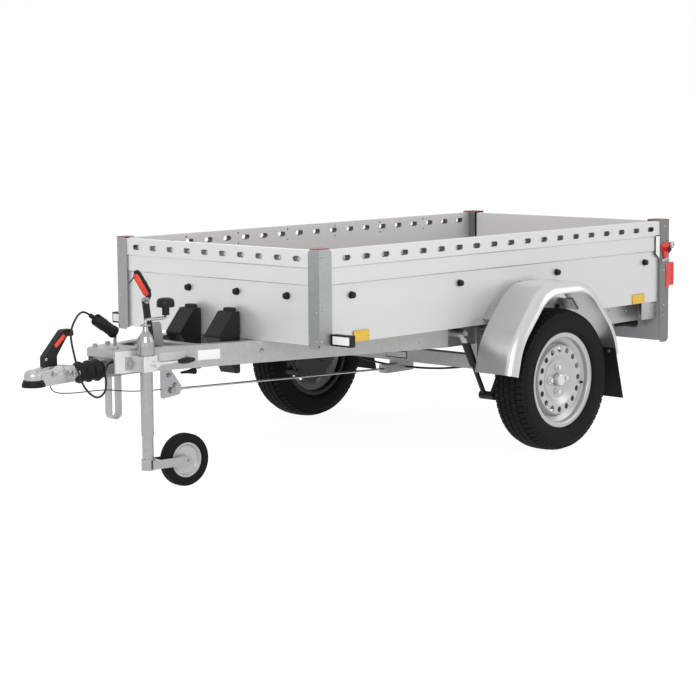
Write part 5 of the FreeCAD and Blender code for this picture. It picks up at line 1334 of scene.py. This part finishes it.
@dataclass
class SmallTrim:
    """Bolts and boss of the brake linkage, the clamp's spindle grip and the ribs of the light plug."""

    linkage_face: float = 0.0135
    linkage_bolts: Outline = ((0.930, 0.400), (0.900, 0.360))
    linkage_boss: tuple[float, float] = (0.916, 0.341)
    spindle_start: Triple = (0.951, 0.182, 0.478)
    spindle_line: Outline = ((0.0, 0.0), (0.0060, 0.0), (0.0095, 0.012), (0.0120, 0.032), (0.0118, 0.052),
                             (0.0085, 0.074), (0.0050, 0.084), (0.0, 0.084))
    plug_start: Triple = (1.259, -0.050, 0.655)
    plug_axis: Triple = (-0.8387, 0.0, -0.5446)
    plug_radius: float = 0.022
    plug_ribs: int = 5
    rib_pitch: float = 0.010

    def build(self) -> None:
        """Places all three."""
        face, (x, z), radius = self.linkage_face, self.linkage_boss, self.plug_radius
        heads = repeated(fastener(Head.BOLT, 0.0085), [upright((along, face, up), LEFTWARDS)
                                                       for along, up in self.linkage_bolts])
        mount("linkage_bolts", DULL_ZINC, *heads, rod(0.0120, (x, face, z), (x, face + 0.012, z), 0.0015, 28))
        mount("clamp_spindle", BLACK_PLASTIC, turned(self.spindle_line, self.spindle_start, FORWARDS, steps=32))
        line = [(radius - 0.002, 0.030)]
        for start in (0.032 + self.rib_pitch * number for number in range(self.plug_ribs)):
            line += [(radius - 0.001, start), (radius + 0.0014, start + 0.002), (radius + 0.0014, start + 0.006),
                     (radius - 0.001, start + 0.008)]
        line.append((radius - 0.002, 0.084))
        mount("plug_ribs", BLACK_PLASTIC, turned(line, self.plug_start, self.plug_axis, steps=40))


def dress_frame() -> None:
    """Gives every CAD node its finish."""
    for finish, names in NODE_FINISHES.items():
        for name in names.split():
            finish.dress(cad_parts[name])
    LOG.info("%d nodes dressed", sum(len(names.split()) for names in NODE_FINISHES.values()))


@dataclass
class PhotoCamera:
    """Camera at the photograph's place."""

    place: Triple = (6.2837, 6.0326, 1.491)
    yaw: float = 3.9
    pitch: float = -0.1228
    roll: float = -0.0078
    lens: float = 109.33
    sensor: float = 36.0
    reach: float = 200.0

    def build(self) -> None:
        """Makes the scene's camera, which looks down its own -Z before it is turned."""
        bpy.ops.object.camera_add()
        camera = bpy.context.object
        camera.matrix_world = (
            Matrix.Translation(self.place) @ Matrix.Rotation(self.yaw - QUARTER_TURN, 4, "Z")
            @ Matrix.Rotation(self.pitch + QUARTER_TURN, 4, "X") @ Matrix.Rotation(self.roll, 4, "Z"))
        camera.data.lens = self.lens
        camera.data.sensor_width = self.sensor
        camera.data.clip_end = self.reach
        bpy.context.scene.camera = camera


@dataclass
class Studio:
    """White floor and background with large soft lamps.

    Attributes:
        floor_half: Half the side of the floor.
        floor_tone: Grey of the floor.
        fill: Strength of the background as a light.
        glow_share: Share of the floor that glows where it is seen.
        glow: Strength of that glow.
        lamps: Place, target, size, watts and whether gloss shows it, for each lamp.
    """

    floor_half: float = 60.0
    floor_tone: float = 0.86
    fill: float = 0.55
    glow_share: float = 0.8
    glow: float = 1.18
    lamps: tuple[tuple[str, Triple, Triple, float, float, bool], ...] = (
        ("lamp_overhead", (0.2, 0.4, 4.2), (0.0, 0.0, 0.4), 3.6, 150, False),
        ("lamp_front_left", (4.6, 3.2, 2.6), (0.2, 0.2, 0.5), 2.2, 120, True),
        ("lamp_rear_left", (-3.6, 4.2, 2.4), (-0.4, 0.2, 0.5), 2.6, 60, True))

    def seen_directly(self, nodes: NodeSet) -> Socket:
        """1 for camera, glossy and transmitted rays."""
        path_rays = nodes.add("ShaderNodeLightPath").outputs
        either = nodes.maths("MAXIMUM", path_rays["Is Camera Ray"], path_rays["Is Glossy Ray"])
        return nodes.maths("MAXIMUM", either, path_rays["Is Transmission Ray"])

    def world(self) -> None:
        """White where it is seen, softer as a light."""
        world = bpy.data.worlds.new("studio_world")
        world.use_nodes = True
        nodes = NodeSet(world.node_tree)
        seen = nodes.maths("MULTIPLY", self.seen_directly(nodes), 1 - self.fill)
        nodes.feed(world.node_tree.nodes["Background"], {"Color": (1, 1, 1, 1),
                                                         "Strength": nodes.maths("ADD", seen, self.fill)})
        bpy.context.scene.world = world

    def floor(self) -> None:
        """Wide pale floor that keeps part of the shadow."""
        pick()
        bpy.ops.mesh.primitive_plane_add(size=2 * self.floor_half)
        floor = bpy.context.object
        floor.name = "studio_floor"
        material = bpy.data.materials.new("studio_floor")
        material.use_nodes = True
        nodes = NodeSet(material.node_tree)
        matte = nodes.add("ShaderNodeBsdfDiffuse", {"Color": (*[self.floor_tone] * 3, 1)}).outputs[0]
        glow = nodes.add("ShaderNodeEmission", {"Color": (1, 1, 1, 1), "Strength": self.glow}).outputs[0]
        share = nodes.maths("MULTIPLY", self.seen_directly(nodes), self.glow_share)
        mix = nodes.add("ShaderNodeMixShader", {0: share, 1: matte, 2: glow}).outputs[0]
        nodes.feed(material.node_tree.nodes["Material Output"], {"Surface": mix})
        floor.data.materials.append(material)

    def build(self) -> None:
        """Sets the world, the floor, the square area lamps and the view transform."""
        self.world()
        self.floor()
        for name, spot, target, size, watts, glossy in self.lamps:
            turn = (Vector(spot) - Vector(target)).to_track_quat("Z", "Y").to_euler()
            bpy.ops.object.light_add(type="AREA", location=spot, rotation=turn)
            lamp = bpy.context.object
            lamp.name = name
            lamp.visible_glossy = glossy
            lamp.data.shape = "SQUARE"
            lamp.data.size = size
            lamp.data.energy = watts
        bpy.context.scene.view_settings.view_transform = "Standard"


def main() -> None:
    """Builds the studio, the camera and every sub-assembly in order."""
    logging.basicConfig(level=logging.INFO, format="%(name)s: %(message)s")
    Studio().build()
    PhotoCamera().build()
    dress_frame()
    for builder in (HoledBoards(), LIGHT_LEAD, BREAKAWAY_WIRE, RoadTyre(), TarpKnobs(), BRIGHT_FIXINGS, DARK_FIXINGS,
                    WheelTrim(), Lamps(), Latches(), BeamTrim(), CouplingTrim(), HandbrakeTrim(), JockeyTrim(),
                    SmallTrim()):
        builder.build()


if __name__ == "__main__":
    main()
